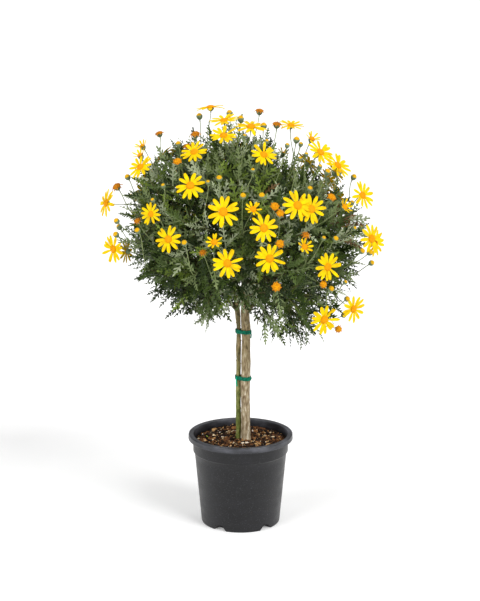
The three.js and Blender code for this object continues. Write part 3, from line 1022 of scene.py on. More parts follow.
def lower_ends(left, right, height):
    """A longer, brighter tail that hangs from the band's left and a folded end at the right."""
    x, far = left + 3.4, right - 0.2
    tail = [(x, 0.2, height + 2.5), (x - 0.7, -0.8, height - 6), (x + 0.4, -0.2, height - 15)]
    fold = [(far - 0.4, -2.2, height + 1), (far + 1.2, -1.0, height + 0.5), (far, 1.2, height - 1)]
    return [(tail, 1.7, 1), (fold, 2.0, 0)]


tie_piece("tie_upper", upper_ends)
tie_piece("tie_lower", lower_ends)

# %% [markdown]
# ## Where the shoots end
#
# A mass of foliage is a shell of leafy shoot ends round bare twigs. Its solid gives the true outline, so
# the shoot ends are spread over the solid's outward faces and drawn in by about the length that the leaves
# reach beyond them. Choosing each next end as far as possible from the ones already chosen spreads them
# evenly without a pattern.

# %% Shoot ends for each mass
CROWN_CENTRE = np.array([0.0, 0.0, 533.0])
SHOOTS_PER_MASS = 33
INNER_SHARE = 0.1
OUTER_DEPTH = (20, 54)
INNER_DEPTH = (80, 105)
LEAF_REACH = 45.0
# Faces of a mass count as its outside if they look outwards by more than this cosine.
FACING_OUT = 0.35
SAMPLES = 1500
# Where the leaves stand further in or out than elsewhere: bearing from the front towards the right and
# elevation in degrees, the width of the place in degrees, and the depth in millimetres.
DRAWN_IN = [(62, 47, 28, 38), (102, 45, 24, 38), (35, 70, 18, 30), (120, 66, 16, 20), (10, 80, 20, 14),
            (-55, 58, 18, 14), (-102, 54, 20, 20), (-92, 6, 18, 26), (-84, -22, 16, 20), (-72, -44, 22, 28),
            (-38, -64, 15, -38), (28, -66, 20, 26), (62, -44, 16, -32), (82, -34, 16, 26), (86, 2, 14, 14)]
# Below the crown a slot stays bare on either side of the stems: its middle, half width and height at the
# stems, and how much higher it stands for each millimetre further to the front.
BARE_SLOT = {"middle": 2.0, "half_width": 38.0, "height": 374.0, "rise": 0.25}


def bearing_way(bearing, elevation):
    """Unit vectors from bearings (0 at the front, growing to the right) and elevations in degrees."""
    b, e = np.radians(bearing), np.radians(elevation)
    return np.stack([np.sin(b) * np.cos(e), -np.cos(b) * np.cos(e), np.sin(e)], axis=-1)


def in_bare_slot(points):
    """Whether each point lies in the slot below the crown that is kept free of leaves."""
    aside = np.abs(points[:, 0] - BARE_SLOT["middle"]) > BARE_SLOT["half_width"]
    above = points[:, 2] + BARE_SLOT["rise"] * points[:, 1] > BARE_SLOT["height"]
    return ~(aside | above)


def outward_samples(name, count, rng):
    """Seeded points on the faces of a mass that look away from the crown's middle. A face's chance is its
    area times how far it looks outwards."""
    corners = node_points(name).reshape(-1, 3)
    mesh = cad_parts[name].data
    index = np.empty(len(mesh.loops), np.int32)
    mesh.loops.foreach_get("vertex_index", index)
    a, b, c = np.moveaxis(corners[index.reshape(-1, 3)], 1, 0)
    cross = np.cross(b - a, c - a)
    area = np.linalg.norm(cross, axis=1) / 2
    out = unit((a + b + c) / 3 - CROWN_CENTRE)
    facing = (unit(cross) * out).sum(-1)
    chance = area * np.clip(facing - FACING_OUT, 0, 1)
    pick = rng.choice(len(area), count, p=chance / chance.sum())
    u, v = np.sort(rng.uniform(0, 1, (2, count)), axis=0)[:, :, None]
    return a[pick] * u + b[pick] * (v - u) + c[pick] * (1 - v)


def spread_out(points, count):
    """The given number of points, each next one the furthest from those already taken."""
    taken = [0]
    away = np.linalg.norm(points - points[0], axis=1)
    for _ in range(count - 1):
        taken.append(int(np.argmax(away)))
        away = np.minimum(away, np.linalg.norm(points - points[taken[-1]], axis=1))
    return points[taken]


def shoot_ends(mass, rng):
    """Ends and directions of a mass's shoots: an outer layer near its outline and a few inner ones,
    without those whose leaves would reach into the bare slot."""
    surface = spread_out(outward_samples(f"foliage_{mass}", SAMPLES, rng), SHOOTS_PER_MASS)
    inner_count = int(INNER_SHARE * SHOOTS_PER_MASS)
    surface = np.concatenate([surface, surface[:inner_count] + rng.normal(0, 12, (inner_count, 3))])
    outward = unit(surface - CROWN_CENTRE)
    depth = rng.uniform(*OUTER_DEPTH, len(surface))
    depth[SHOOTS_PER_MASS:] = rng.uniform(*INNER_DEPTH, inner_count)
    for bearing, elevation, width, deeper in DRAWN_IN:
        apart = np.degrees(np.arccos(np.clip(outward @ bearing_way(bearing, elevation), -1, 1)))
        depth = depth + deeper * np.exp(-((apart / width) ** 2))
    ends = surface - outward * depth[:, None]
    lift = np.where(outward[:, 2:3] > -0.3, 0.35, 0.05)
    ways = unit(outward + lift * UP + rng.normal(0, 0.2, outward.shape))
    free = ~in_bare_slot(ends + LEAF_REACH * ways)
    return ends[free], ways[free]


SHOOT_RNG = np.random.default_rng(77)
SHOOTS = {mass: shoot_ends(mass, SHOOT_RNG) for mass in MASSES}
print("shoots:", sum(len(ends) for ends, _ in SHOOTS.values()))

# %% [markdown]
# ## Twigs
#
# Each bough forks inside its mass into a few side branches, and each of those forks into the shoots
# whose ends lie nearest together. Grouping the ends gives the forks, and smooth curves that leave along
# the parent and arrive along the shoot give natural bends.


# %% Branching rule
SIDE_BRANCHES = 7
FORK_SHARE = 0.55


def groups_of(points, count, rng, rounds=8):
    """Group number of each point and the groups' centres: each round gives points to their nearest
    centre and moves each centre to the middle of its points."""
    centres = points[rng.choice(len(points), count, replace=False)]
    for _ in range(rounds):
        number = np.argmin(np.linalg.norm(points[:, None] - centres[None], axis=-1), axis=1)
        for k in np.unique(number):
            centres[k] = points[number == k].mean(0)
    return number, centres


def grow_mass(mass, rng):
    """Curves of a mass's side branches and shoots. A fork lies a little over half of the way from the
    bough's tip to the middle of its group's shoot ends."""
    ends, ways = SHOOTS[mass]
    line = BOUGH_LINES[mass]
    tip, tip_way = line[-1], unit(line[-1] - line[-3])
    number, centres = groups_of(ends, SIDE_BRANCHES, rng)
    forks = tip + FORK_SHARE * (centres - tip) + rng.normal(0, 4, centres.shape)
    reach = np.linalg.norm(forks - tip, axis=1, keepdims=True)
    foot = np.broadcast_to(tip - 3.0 * tip_way, forks.shape)
    fork_way = unit(unit(forks - tip) + 0.3 * UP)
    branches = hermite(foot, 0.9 * reach * tip_way, forks, 0.9 * reach * fork_way, 10)
    start, start_way = forks[number], fork_way[number]
    span = np.linalg.norm(ends - start, axis=1, keepdims=True)
    shoots = hermite(start, 0.8 * span * start_way, ends, 0.8 * span * ways, 10)
    return branches, shoots


twig_finish = finish(
    "twig bark",
    [tint(46, 42, 20), tint(84, 84, 40), tint(112, 116, 60)],
    (6, 0.8),
    (0.6, 0.85),
    (0.4, 0.3),
)
# Radii at foot and tip of the side branches and of the shoots.
TWIG_RADII = ((2.3, 1.6), (1.5, 0.9))
TWIG_SIDES = 6
TWIG_RNG = np.random.default_rng(8)
twig_pile = Pile()
for mass in MASSES:
    for curves, (foot, tip) in zip(grow_mass(mass, TWIG_RNG), TWIG_RADII):
        taper = np.linspace(foot, tip, curves.shape[1])[None, :, None]
        twig_pile.add(*tubes(curves, np.broadcast_to(taper, (*curves.shape[:2], TWIG_SIDES))))
twig_pile.build("twigs", [twig_finish], "bough_bark")

# %% [markdown]
# ## Leaves
#
# A leaf is like a small stiff comb: a thin midrib with four or five pairs of blunt lobes that point
# forwards. A picture on a card would look flat close to, so the leaf's own outline is built: the midrib is
# a folded strip and each lobe is five corners. A few different leaves are made once and then copied, ten
# to a shoot, in a spiral from an upright tip to spreading older leaves. The colour changes from shoot to
# shoot and from tip to foot: more silvery young leaves at the tip, more deep greens below. These colours
# are partly the leaves' own and partly painted light: the silver of the outer tips is partly a painted
# highlight, and the deep greens of the older leaves further in and of the low shoots are partly painted
# shade of the crown's inside and underside.


# %% One leaf
RIB_HALF = (1.5, 1.2)
LOBE_BASE = 1.2
LOBE_HALF = 1.75
# How far out a lobe is widest, as a share of its reach, and its angle from the midrib with its spread.
LOBE_WIDEST = 0.68
LOBE_ANGLE = (44, 6)


def leaf_shape(pairs, length, widest, droop, fold, twist, seed):
    """A comb-like leaf that grows along +Y with its upper side to +Z. Lobe lengths follow an arch along
    the blade. Every point rises with its distance from the midrib (the fold), sinks with the square of
    its distance along it (the droop), and turns about the midrib a little more the further it lies (the
    twist)."""
    rng = np.random.default_rng(seed)
    stations = np.linspace(0.0, length, pairs + 3)
    half = np.interp(stations, [0, length], RIB_HALF)
    rib = np.stack([np.stack([side * half, stations, 0 * half], -1) for side in (-1, 1)], axis=1)
    rib_faces = grid_faces(len(stations), 2)
    at = np.linspace(0.3, 0.92, pairs) * length
    arch = np.sin(np.pi * np.linspace(0.28, 0.86, pairs)) ** 0.8
    reach = np.repeat(widest * arch, 2) * rng.uniform(0.8, 1.12, 2 * pairs)
    angle = np.radians(rng.normal(*LOBE_ANGLE, 2 * pairs)) * np.tile([1, -1], pairs)
    reach = np.append(reach, widest * 0.75)
    angle = np.append(angle, rng.normal(0, 0.08))
    root = np.append(np.repeat(at, 2), length * 0.97)
    root[:-1] += rng.normal(0, 0.6, 2 * pairs)
    way = np.stack([np.sin(angle), np.cos(angle)], -1)
    square = np.stack([np.cos(angle), -np.sin(angle)], -1)
    base = np.stack([0 * root, root], -1)
    corners = [base - LOBE_BASE * square, base + LOBE_BASE * square]
    corners += [base + LOBE_WIDEST * reach[:, None] * way + side * LOBE_HALF * square for side in (1, -1)]
    corners += [base + reach[:, None] * way]
    lobes = np.concatenate([np.stack(corners, axis=1), np.zeros((len(root), 5, 1))], axis=-1)
    quads = np.array([0, 1, 2, 3]) + 5 * np.arange(len(root))[:, None] + 2 * len(stations)
    tips = np.array([3, 2, 4]) + 5 * np.arange(len(root))[:, None] + 2 * len(stations)
    points = np.concatenate([rib.reshape(-1, 3), lobes.reshape(-1, 3)])
    points[:, 2] += fold * np.abs(points[:, 0])
    turn = twist * points[:, 1] / length
    x, z = points[:, 0].copy(), points[:, 2].copy()
    points[:, 0] = x * np.cos(turn) - z * np.sin(turn)
    points[:, 2] = x * np.sin(turn) + z * np.cos(turn) - droop * points[:, 1] ** 2 / length
    points[:, 1] *= 1 - 0.25 * abs(droop) * points[:, 1] / length
    return points, [rib_faces, quads, tips]


LEAF_KINDS = [
    leaf_shape(pairs=4, length=50, widest=13.0, droop=0.15, fold=0.3, twist=0.4, seed=1),
    leaf_shape(pairs=4, length=46, widest=13.0, droop=0.3, fold=0.2, twist=-0.5, seed=2),
    leaf_shape(pairs=5, length=55, widest=12.5, droop=-0.05, fold=0.35, twist=0.5, seed=3),
    leaf_shape(pairs=4, length=43, widest=12.0, droop=0.4, fold=0.3, twist=-0.3, seed=4),
    leaf_shape(pairs=4, length=42, widest=11.5, droop=-0.15, fold=0.5, twist=0.3, seed=5),
]
print("triangles in a leaf:", [sum(len(f) * (f.shape[1] - 2) for f in kind[1]) for kind in LEAF_KINDS])

# %% Leaf finishes, dealt out by shoot
LEAF_TINTS = [
    ("silver leaf and painted highlight", [tint(140, 153, 114), tint(178, 187, 154)]),
    ("grey green leaf", [tint(104, 120, 72), tint(130, 144, 96)]),
    ("fresh green leaf", [tint(92, 112, 36), tint(118, 138, 54)]),
    ("green leaf", [tint(58, 78, 28), tint(80, 98, 42)]),
    ("deep green leaf and painted shade", [tint(28, 43, 10), tint(43, 61, 18)]),
    ("dry leaf", [tint(92, 70, 38), tint(122, 96, 58)]),
]
# How often each tint is dealt to the young leaves, to the old ones and to the young ones low in the crown.
# The extra deep greens dealt to the old and the low leaves are partly painted shade inside and under the
# crown.
YOUNG_SHARES = [0.24, 0.34, 0.12, 0.23, 0.07, 0.0]
OLD_SHARES = [0.04, 0.16, 0.08, 0.37, 0.34, 0.01]
LOW_SHADE_SHARES = [0.01, 0.14, 0.09, 0.44, 0.32, 0.0]
LOW_BELOW = 40.0
leaf_finishes = [
    finish(name, colours, (9, 1.5), (0.45, 0.6), (0.15, 0.15), Specular_IOR_Level=0.25)
    for name, colours in LEAF_TINTS
]
LEAVES_PER_SHOOT = 10
GOLDEN = math.radians(137.5)
# The leafy length of a shoot, and how far a leaf leans out at its tip and how much further at its foot.
LEAFY_LENGTH = 46
TIP_LEAN, ADDED_LEAN = 12, 56
YOUNG_UNTIL = 0.42
ODD_SHARE = 0.15


def leaf_turns(ways, inclines, spins, rolls):
    """Turning matrices whose columns are the leaf's side, length and upper side. The length leans from
    the shoot's way by the incline, towards a bearing round the shoot, and the upper side faces the tip."""
    side = across(ways)
    radial = np.cos(spins)[:, None] * side + np.sin(spins)[:, None] * np.cross(ways, side)
    length = np.cos(inclines)[:, None] * ways + np.sin(inclines)[:, None] * radial
    upper = np.sin(inclines)[:, None] * ways - np.cos(inclines)[:, None] * radial
    flat = np.cross(length, upper)
    upper, flat = (np.cos(rolls)[:, None] * upper + np.sin(rolls)[:, None] * flat,
                   np.cos(rolls)[:, None] * flat - np.sin(rolls)[:, None] * upper)
    return np.stack([flat, length, upper], axis=-1)


def leaves_of(mass, rng):
    """All the leaves of a mass. On each shoot they sit in a spiral down from its tip: the youngest are
    short and upright, the oldest long and spread. Each shoot deals its young and its old leaves one
    colour each, and a few leaves differ. Leaves that would stand in the bare slot are left out."""
    ends, ways = SHOOTS[mass]
    n, m = len(ends), LEAVES_PER_SHOOT
    age = np.tile(np.linspace(0, 1, m), n) + rng.normal(0, 0.04, n * m)
    down = LEAFY_LENGTH * np.clip(age, 0, 1) ** 0.9
    place = np.repeat(ends, m, axis=0) - np.repeat(ways, m, axis=0) * down[:, None]
    incline = np.radians(TIP_LEAN + ADDED_LEAN * np.clip(age, 0, 1) ** 0.8 + rng.normal(0, 9, n * m))
    spin = np.tile(GOLDEN * np.arange(m), n) + np.repeat(rng.uniform(0, 6.28, n), m)
    spin = spin + rng.normal(0, 0.25, n * m)
    size = np.interp(age, [0, 0.35, 1], [0.6, 0.92, 1.0]) * rng.uniform(0.8, 1.12, n * m)
    turns = leaf_turns(np.repeat(ways, m, axis=0), incline, spin, rng.normal(0, 0.6, n * m))
    numbers = len(LEAF_TINTS)
    # Shoots low in the crown take more deep greens: painted shade under the crown.
    low = ends[:, 2] < CROWN_CENTRE[2] - LOW_BELOW
    tip_colour = np.where(low, rng.choice(numbers, n, p=LOW_SHADE_SHARES), rng.choice(numbers, n, p=YOUNG_SHARES))
    young = np.repeat(tip_colour, m)
    old = np.repeat(rng.choice(numbers, n, p=OLD_SHARES), m)
    colour = np.where(age + rng.normal(0, 0.1, n * m) < YOUNG_UNTIL, young, old)
    odd = rng.uniform(0, 1, n * m) < ODD_SHARE
    colour[odd] = rng.choice(numbers, odd.sum(), p=OLD_SHARES)
    kind = rng.choice(len(LEAF_KINDS), n * m)
    free = ~(in_bare_slot(place) | in_bare_slot(place + LEAF_REACH * size[:, None] * turns[:, :, 1]))
    pile = Pile()
    for k, shape in enumerate(LEAF_KINDS):
        mine = (kind == k) & free
        pile.add_copies(shape, (turns * size[:, None, None])[mine], place[mine], colour[mine])
    return pile


LEAF_RNG = np.random.default_rng(99)
for mass in MASSES:
    leaves_of(mass, LEAF_RNG).build(f"leaves_{mass}", leaf_finishes, "foliage", [f"foliage_{mass}"])

# %% [markdown]
# ## Daisies
#
# A daisy head has a green cup, a domed orange disc of tiny florets and about twelve yellow rays with
# blunt notched tips. Heads come in stages: closed buds, a young head with short rays, open ones whose rays
# lie flat, bend back or still rise, a ripe one with only stumps of its rays and a spent brown one. Each
# stage's parts are made once at the origin, facing +Z, and copied to the heads, which is far quicker than
# modelling each. The heads of the front are placed one by one, because they make the plant's face; the
# rest are spread by seeded numbers.


# %% Ray florets
def ray_shape(length, width, lift, droop, across_count=5, along_count=9):
    """One ray along +X from the disc's edge. Its half width grows from a narrow base to the middle and
    closes slowly to a blunt tip with a notch, it is ridged along, and it rises by lift and sinks by droop
    along its way."""
    v, u = np.meshgrid(np.linspace(0, 1, along_count), np.linspace(-1, 1, across_count), indexing="ij")
    swell = 0.4 + 0.6 * np.sin(np.clip(v / 0.6, 0, 1) * np.pi / 2)
    close = np.sqrt(np.clip(1 - np.clip((v - 0.56) / 0.47, 0, 1) ** 2, 0.0, 1))
    y = u * width / 2 * swell * np.maximum(close, 0.3)
    notch = 0.04 * length * (v > 0.99) * (np.cos(2 * np.pi * u) - 1) / 2
    x = length * v + notch
    z = lift * v - droop * v**2 * length + 0.1 * width * (u**2 - 0.5 * (1 - np.cos(4 * np.pi * u)) * 0.6)
    return np.stack([x, y, z], -1).reshape(-1, 3), grid_faces(along_count, across_count)


def rays_shape(count, length, width, lift, droop, inner, height, seed):
    """A ring of rays round the disc, each turned to its place with seeded unevenness in its size, turn,
    tilt and droop."""
    rng = np.random.default_rng(seed)
    points, faces = [], []
    total = 0
    for k in range(count):
        uneven = rng.normal(0, 1, 4)
        ray, quads = ray_shape(
            length * (1 + 0.05 * uneven[0]), width * (1 + 0.06 * uneven[1]),
            lift + 0.9 * uneven[2], droop + 0.05 * uneven[3],
        )
        turn = 2 * np.pi * k / count + 0.09 * rng.normal()
        x, y, z = ray[:, 0] + inner, ray[:, 1], ray[:, 2] + height
        c, s = np.cos(turn), np.sin(turn)
        points.append(np.stack([x * c - y * s, x * s + y * c, z], axis=-1))
        faces.append(quads + total)
        total += len(ray)
    return np.concatenate(points), [np.concatenate(faces)]


# %% Discs and cups
FLORET_TURN = 2.39996


def turned_shape(profile, sides=16, lobes=0, lobe_depth=0.0):
    """A turned closed form from [radius, height] pairs that start and end on the axis. With lobes, the
    radius of each row swells and shrinks round the axis by the row's share of the depth."""
    profile = np.array(profile, float)
    a = 2 * np.pi * np.arange(sides) / sides
    share = np.linspace(0, 1, len(profile))[:, None]
    radius = profile[:, :1] * (1 + lobe_depth * share * np.cos(lobes * a))
    height = np.broadcast_to(profile[:, 1:], radius.shape)
    points = np.stack([radius * np.cos(a), radius * np.sin(a), height], axis=-1)
    return points.reshape(-1, 3), [grid_faces(len(profile), sides, wrap=True)]


def cup_shape(profile, lobe_depth=0.08, sides=16):
    """A turned cup with one shallow lobe, the tip of a green scale, for every two of its sides."""
    return turned_shape(profile, sides, sides // 2, lobe_depth)


def disc_shape(radius, dome, florets, floret_size, base):
    """A dome covered with florets: small four-sided points, each turned on by the golden angle, whose
    distance from the middle grows with the square root of their number."""
    angles = np.radians(np.linspace(0, 90, 6))
    cap = np.stack([radius * np.sin(angles), base + dome * np.cos(angles)], -1)[::-1]
    points, [faces] = turned_shape([(0, base - 0.5), *cap.tolist()])
    k = np.arange(florets) + 0.5
    share = np.sqrt(k / florets) * 0.97
    bearing = FLORET_TURN * k
    lean = share * np.pi / 2
    x, y, z = np.sin(lean) * np.cos(bearing), np.sin(lean) * np.sin(bearing), np.cos(lean)
    seat = np.stack([radius * x, radius * y, base + dome * z], axis=-1)
    out = unit(np.stack([x, y, z + 0.35], axis=-1))
    side = across(out)
    other = np.cross(out, side)
    ring = [seat - 0.2 * out + floret_size * way for way in (side, other, -side, -other)]
    corners = np.stack([*ring, seat + 1.5 * floret_size * out], axis=1)
    spikes = np.array([(0, 1, 4), (1, 2, 4), (2, 3, 4), (3, 0, 4)])
    spikes = (spikes[None] + 5 * np.arange(florets)[:, None, None]).reshape(-1, 3) + len(points)
    return np.concatenate([points, corners.reshape(-1, 3)]), [faces, spikes]


OPEN_CUP = cup_shape([(0, -6.2), (2.6, -5.8), (5.2, -3.4), (5.9, -0.6), (5.4, 0.7), (0, 0.9)], 0.1)
STAGES = {
    # rays, disc and cup of each stage
    "open": {
        "rays": rays_shape(12, 20.5, 6.3, 1.6, 0.03, 4.4, 0.6, seed=1),
        "disc": disc_shape(6.4, 3.4, 48, 0.62, 0.6),
        "cup": OPEN_CUP,
    },
    "wide": {
        "rays": rays_shape(11, 21.0, 6.8, 0.4, 0.12, 4.4, 0.4, seed=2),
        "disc": disc_shape(6.9, 3.8, 52, 0.62, 0.6),
        "cup": OPEN_CUP,
    },
    "full": {
        "rays": rays_shape(13, 19.5, 6.0, 2.6, 0.05, 4.4, 0.8, seed=3),
        "disc": disc_shape(6.2, 3.6, 48, 0.62, 0.8),
        "cup": OPEN_CUP,
    },
    "young": {
        "rays": rays_shape(9, 9.5, 3.8, 6.0, -0.05, 4.0, 1.0, seed=4),
        "disc": disc_shape(5.2, 3.4, 38, 0.6, 1.0),
        "cup": cup_shape([(0, -7.0), (2.8, -6.4), (4.9, -3.6), (5.2, -0.4), (4.9, 1.2), (0, 1.3)]),
    },
    "bud": {
        "disc": disc_shape(4.4, 4.2, 30, 0.6, 0.6),
        "cup": cup_shape([(0, -6.4), (2.7, -6.0), (4.8, -3.2), (5.2, 0.0), (4.7, 1.4), (0, 1.6)]),
    },
    "small_bud": {
        "disc": disc_shape(3.0, 2.4, 14, 0.55, 1.2),
        "cup": cup_shape([(0, -5.0), (2.3, -4.6), (3.9, -2.2), (4.0, 0.6), (3.2, 1.9), (0, 2.0)], sides=14),
    },
    "ripe": {
        "rays": rays_shape(8, 3.0, 2.2, 0.4, 0.2, 5.2, 1.2, seed=6),
        "disc": disc_shape(6.4, 4.8, 56, 0.75, 0.6),
        "cup": cup_shape([(0, -6.4), (2.7, -6.0), (5.2, -3.2), (5.8, 0.0), (5.4, 1.2), (0, 1.4)], 0.1),
    },
    "spent": {
        "rays": rays_shape(9, 6.0, 2.4, -0.5, 0.25, 5.0, 1.6, seed=5),
        "disc": disc_shape(6.8, 4.0, 52, 0.85, 0.6),
        "cup": cup_shape([(0, -6.4), (2.7, -6.0), (5.4, -3.2), (6.0, 0.0), (5.6, 1.2), (0, 1.4)], 0.1),
    },
}
STAGE_NAMES = list(STAGES)

# %% Where the heads are
# The front heads of each stage as (bearing from the front towards the right, elevation) in degrees. A
# third number is a reach other than 1 and a fourth a size other than 1. The angles weren't chosen by hand:
# a separate program worked them out from where the heads stand in the front view.
FRONT_HEADS = {
    "open": [(-22, 72), (-28, 48), (30, 20), (76, -35, 1.02, 1.05), (66, 22), (58, 38), (52, 46), (56, 65),
             (71, -1), (-39, 17, 1.0, 0.8), (-60, 37)],
    "wide": [(-113, 77, 1.045), (-23, 31), (-7, 20), (10, 66), (9, 13), (24, 22), (66, 2),
             (-29, 7, 1.0, 0.83), (-87, 15)],
    "full": [(-13, 59), (-5, -2), (13, 47), (11, 0), (36, -6), (45, -35, 1.0, 1.15), (-62, -2)],
    "young": [(-93, 45), (-71, 42), (-10, 7), (48, 19), (57, 54), (5, 21), (25, 4)],
    "ripe": [(-35, 42), (14, 22), (16, 19, 1.0, 0.9), (42, 24), (15, 6), (14, -13), (35, -14, 1.0, 0.85),
             (71, -45, 1.05, 0.9)],
    "spent": [(-95, 54), (-37, 59), (120, 81), (40, 67), (-35, 51, 1.0, 0.8), (-74, 25), (-15, 2, 0.97, 0.7),
              (26, 9, 1.0, 0.75), (-46, 13, 1.0, 0.75)],
    "bud": [(-106, 72), (-40, 83), (0, 75), (24, 67), (-44, 52), (-67, 31), (-61, 11), (-60, 5), (-45, 9),
            (-22, 6), (-10, 35), (1, 27), (9, 27), (32, 29), (40, 6), (57, -2), (65, -4), (70, -10),
            (40, -17), (55, -25), (73, -39), (67, 31), (47, 36), (56, 35), (42, 55)],
    "small_bud": [(3, 59), (18, 55), (-40, 23), (-37, 30), (-15, 33), (6, 39), (34, 7), (52, 9), (48, -15),
                  (44, 39), (40, 46), (42, 52), (31, 52), (34, 44)],
}
HEAD_REACH = np.array([243.0, 243.0, 215.0])
# The back heads: their count, how many places they are chosen from, bearings in degrees, sines of their
# elevations, reaches, how much less the high ones reach, and the share of each stage in STAGES' order.
BACK = {"count": 56, "places": 900, "bearings": (110, 250), "sines": (-0.25, 0.7), "reaches": (0.93, 0.98)}
BACK_HIGH_LESS = 0.08
BACK_SHARES = [0.16, 0.16, 0.14, 0.1, 0.2, 0.1, 0.07, 0.07]


def seeded_heads(count, seed):
    """Stages, directions and reaches of the heads at the back, evenly spread."""
    rng = np.random.default_rng(seed)
    bearing = rng.uniform(*BACK["bearings"], BACK["places"])
    elevation = np.degrees(np.arcsin(rng.uniform(*BACK["sines"], BACK["places"])))
    ways = spread_out(bearing_way(bearing, elevation), count)
    stage = rng.choice(STAGE_NAMES, count, p=BACK_SHARES)
    high = np.clip(2 * ways[:, 2], 0, 1)
    return stage, ways, rng.uniform(*BACK["reaches"], count) - BACK_HIGH_LESS * high


front_stage = np.repeat(list(FRONT_HEADS), [len(places) for places in FRONT_HEADS.values()])
front_facts = np.array([(*place, 1.0, 1.0)[:4] for places in FRONT_HEADS.values() for place in places])
front_way = bearing_way(front_facts[:, 0], front_facts[:, 1])
back_stage, back_way, back_reach = seeded_heads(BACK["count"], seed=14)
HEAD_STAGE = np.concatenate([front_stage, back_stage])
HEAD_WAY = np.concatenate([front_way, back_way])
HEAD_SHARE = np.concatenate([front_facts[:, 2], back_reach])
HEAD_PLACE = CROWN_CENTRE + HEAD_WAY * HEAD_REACH * HEAD_SHARE[:, None]
HEAD_RNG = np.random.default_rng(15)
# How strongly a head of a stage turns upwards, for the stages that do so more than the open ones.
UPRIGHT = {"bud": 1.0, "small_bud": 1.0, "spent": 0.9, "ripe": 0.35, "young": 0.3}


def head_facings():
    """A head faces outwards from the crown and a little upwards. Those of the front half turn to the
    front, the more so the further they stand to the side or below. The low ones also turn up a little,
    and those at the top, the spent ones and the buds much more."""
    side_share = np.interp(np.abs(HEAD_WAY[:, 0]), [0.6, 0.95], [0.25, 0.6])
    low_share = np.interp(HEAD_WAY[:, 2], [-0.6, -0.3], [0.9, 0.0])
    front_share = np.where(HEAD_WAY[:, 1] < 0.1, side_share + low_share, 0.0)
    up_share = 0.12 + np.array([UPRIGHT.get(stage, 0.0) for stage in HEAD_STAGE])
    up_share = up_share + 0.8 * (HEAD_WAY[:, 2] > 0.9) + 0.4 * low_share
    pulled = HEAD_WAY + front_share[:, None] * FRONT + up_share[:, None] * UP
    return unit(pulled + HEAD_RNG.normal(0, 0.09, HEAD_WAY.shape))


HEAD_FACING = head_facings()
HEAD_SIZE = HEAD_RNG.uniform(0.92, 1.06, len(HEAD_WAY))
HEAD_SIZE[: len(front_facts)] *= front_facts[:, 3]
HEAD_SIZE[HEAD_STAGE == "young"] *= 0.95
print("heads:", {name: int((HEAD_STAGE == name).sum()) for name in STAGE_NAMES})


# %% Build the heads
def facing_turns(facing, spin):
    """Turning matrices that carry +Z to each facing, after a spin about it."""
    side = across(facing)
    other = np.cross(facing, side)
    first = np.cos(spin)[:, None] * side + np.sin(spin)[:, None] * other
    return np.stack([first, np.cross(facing, first), facing], axis=-1)


petal_finish = finish(
    "yellow ray",
    [tint(220, 178, 0), tint(238, 200, 0), tint(248, 214, 0)],
    (9, 0.9),
    (0.6, 0.75),
    (0.3, 0.25),
    Specular_IOR_Level=0.12,
)
old_ray_finish = finish(
    "withered ray",
    [tint(170, 96, 8), tint(212, 140, 10)],
    (3, 0.8),
    (0.8, 0.9),
    (0.4, 0.3),
)
DISC_TINTS = {
    "orange disc": [tint(226, 144, 0), tint(242, 166, 4)],
    "ripe disc": [tint(176, 104, 4), tint(216, 142, 2), tint(240, 176, 10)],
    "spent disc": [tint(138, 80, 8), tint(186, 112, 10), tint(218, 146, 22)],
    "bud disc": [tint(206, 156, 8), tint(236, 184, 20)],
}
disc_finishes = [
    finish(name, colours, (2, 0.6), (0.7, 0.85), (0.4, 0.3), Specular_IOR_Level=0.15)
    for name, colours in DISC_TINTS.items()
]
cup_finish = finish(
    "green cup",
    [tint(84, 102, 66), tint(126, 142, 104)],
    (4, 0.8),
    (0.6, 0.75),
    (0.3, 0.2),
)
stalk_finish = finish(
    "pale green stalk",
    [tint(110, 124, 72), tint(146, 158, 104)],
    (8, 0.8),
    (0.6, 0.75),
    (0.2, 0.2),
)

HEAD_SPIN = HEAD_RNG.uniform(0, 2 * np.pi, len(HEAD_WAY))
HEAD_TURNS = facing_turns(HEAD_FACING, HEAD_SPIN) * HEAD_SIZE[:, None, None]
PARTS = {"rays": Pile(), "disc": Pile(), "cup": Pile()}
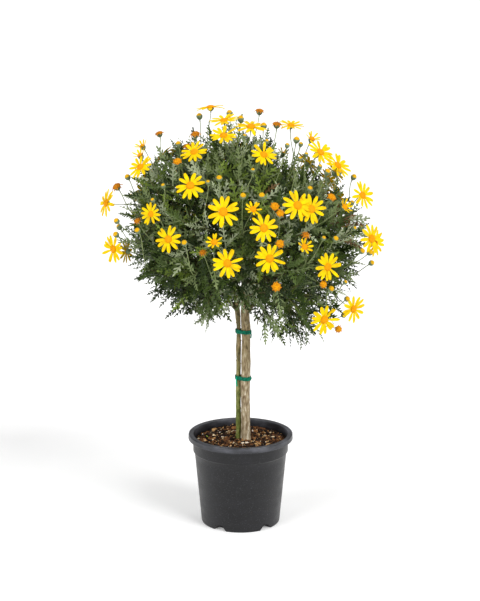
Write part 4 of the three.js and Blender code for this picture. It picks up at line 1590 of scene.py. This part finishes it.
# Which finish the rays and the disc of a stage wear, where it isn't the first of theirs.
RAY_NUMBER = {"ripe": 1, "spent": 1}
DISC_NUMBER = {"ripe": 1, "spent": 2, "bud": 3, "small_bud": 3}
for stage, parts in STAGES.items():
    mine = HEAD_STAGE == stage
    numbers = {"rays": RAY_NUMBER.get(stage, 0), "disc": DISC_NUMBER.get(stage, 0), "cup": 0}
    for part, shape in parts.items():
        PARTS[part].add_copies(shape, HEAD_TURNS[mine], HEAD_PLACE[mine], numbers[part])
PARTS["rays"].build("daisy_rays", [petal_finish, old_ray_finish], "petals")
PARTS["disc"].build("daisy_discs", disc_finishes, "flower_discs")
PARTS["cup"].build("daisy_cups", [cup_finish], "foliage")

# %% Stalks
SHOOT_ENDS = np.concatenate([ends for ends, _ in SHOOTS.values()])
SHOOT_WAYS = np.concatenate([ways for _, ways in SHOOTS.values()])
# The length below its head at which a stalk looks for a shoot, how much lower it looks, how deep it ends
# in the cup, and its steps.
STALK_LENGTH = 62.0
STALK_DROP = 8.0
CUP_DEPTH = 5.4
STALK_STEPS = 12


def stalk_curves():
    """A stalk for each head, from the shoot end that lies nearest to a point well below the head."""
    wanted = HEAD_PLACE - STALK_LENGTH * HEAD_FACING - STALK_DROP * UP
    away = np.linalg.norm(wanted[:, None] - SHOOT_ENDS[None], axis=-1)
    nearest = np.argmin(away, axis=1)
    start, way = SHOOT_ENDS[nearest], SHOOT_WAYS[nearest]
    end = HEAD_PLACE - CUP_DEPTH * HEAD_FACING * HEAD_SIZE[:, None]
    span = np.linalg.norm(end - start, axis=1, keepdims=True)
    return hermite(start - 6 * way, 0.9 * span * way, end, 0.9 * span * HEAD_FACING, STALK_STEPS)


stalk_lines = stalk_curves()
stalk_radius = np.interp(np.linspace(0, 1, STALK_STEPS), [0, 0.9, 1], [0.75, 0.7, 1.3])[None, :, None]
stalk_pile = Pile()
stalk_pile.add(*tubes(stalk_lines, np.broadcast_to(stalk_radius, (*stalk_lines.shape[:2], TWIG_SIDES))))
stalk_pile.build("daisy_stalks", [stalk_finish], "foliage")

# %% [markdown]
# ## Check the size and finish
#
# The finished model's box is written beside the solids' box, to compare them.

# %% Finish
box_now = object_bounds()
past = [[round((b - a) / MM, 1) for a, b in zip(*pair)] for pair in zip(CAD_BOX, box_now)]
print("past the solids, mm:", past)
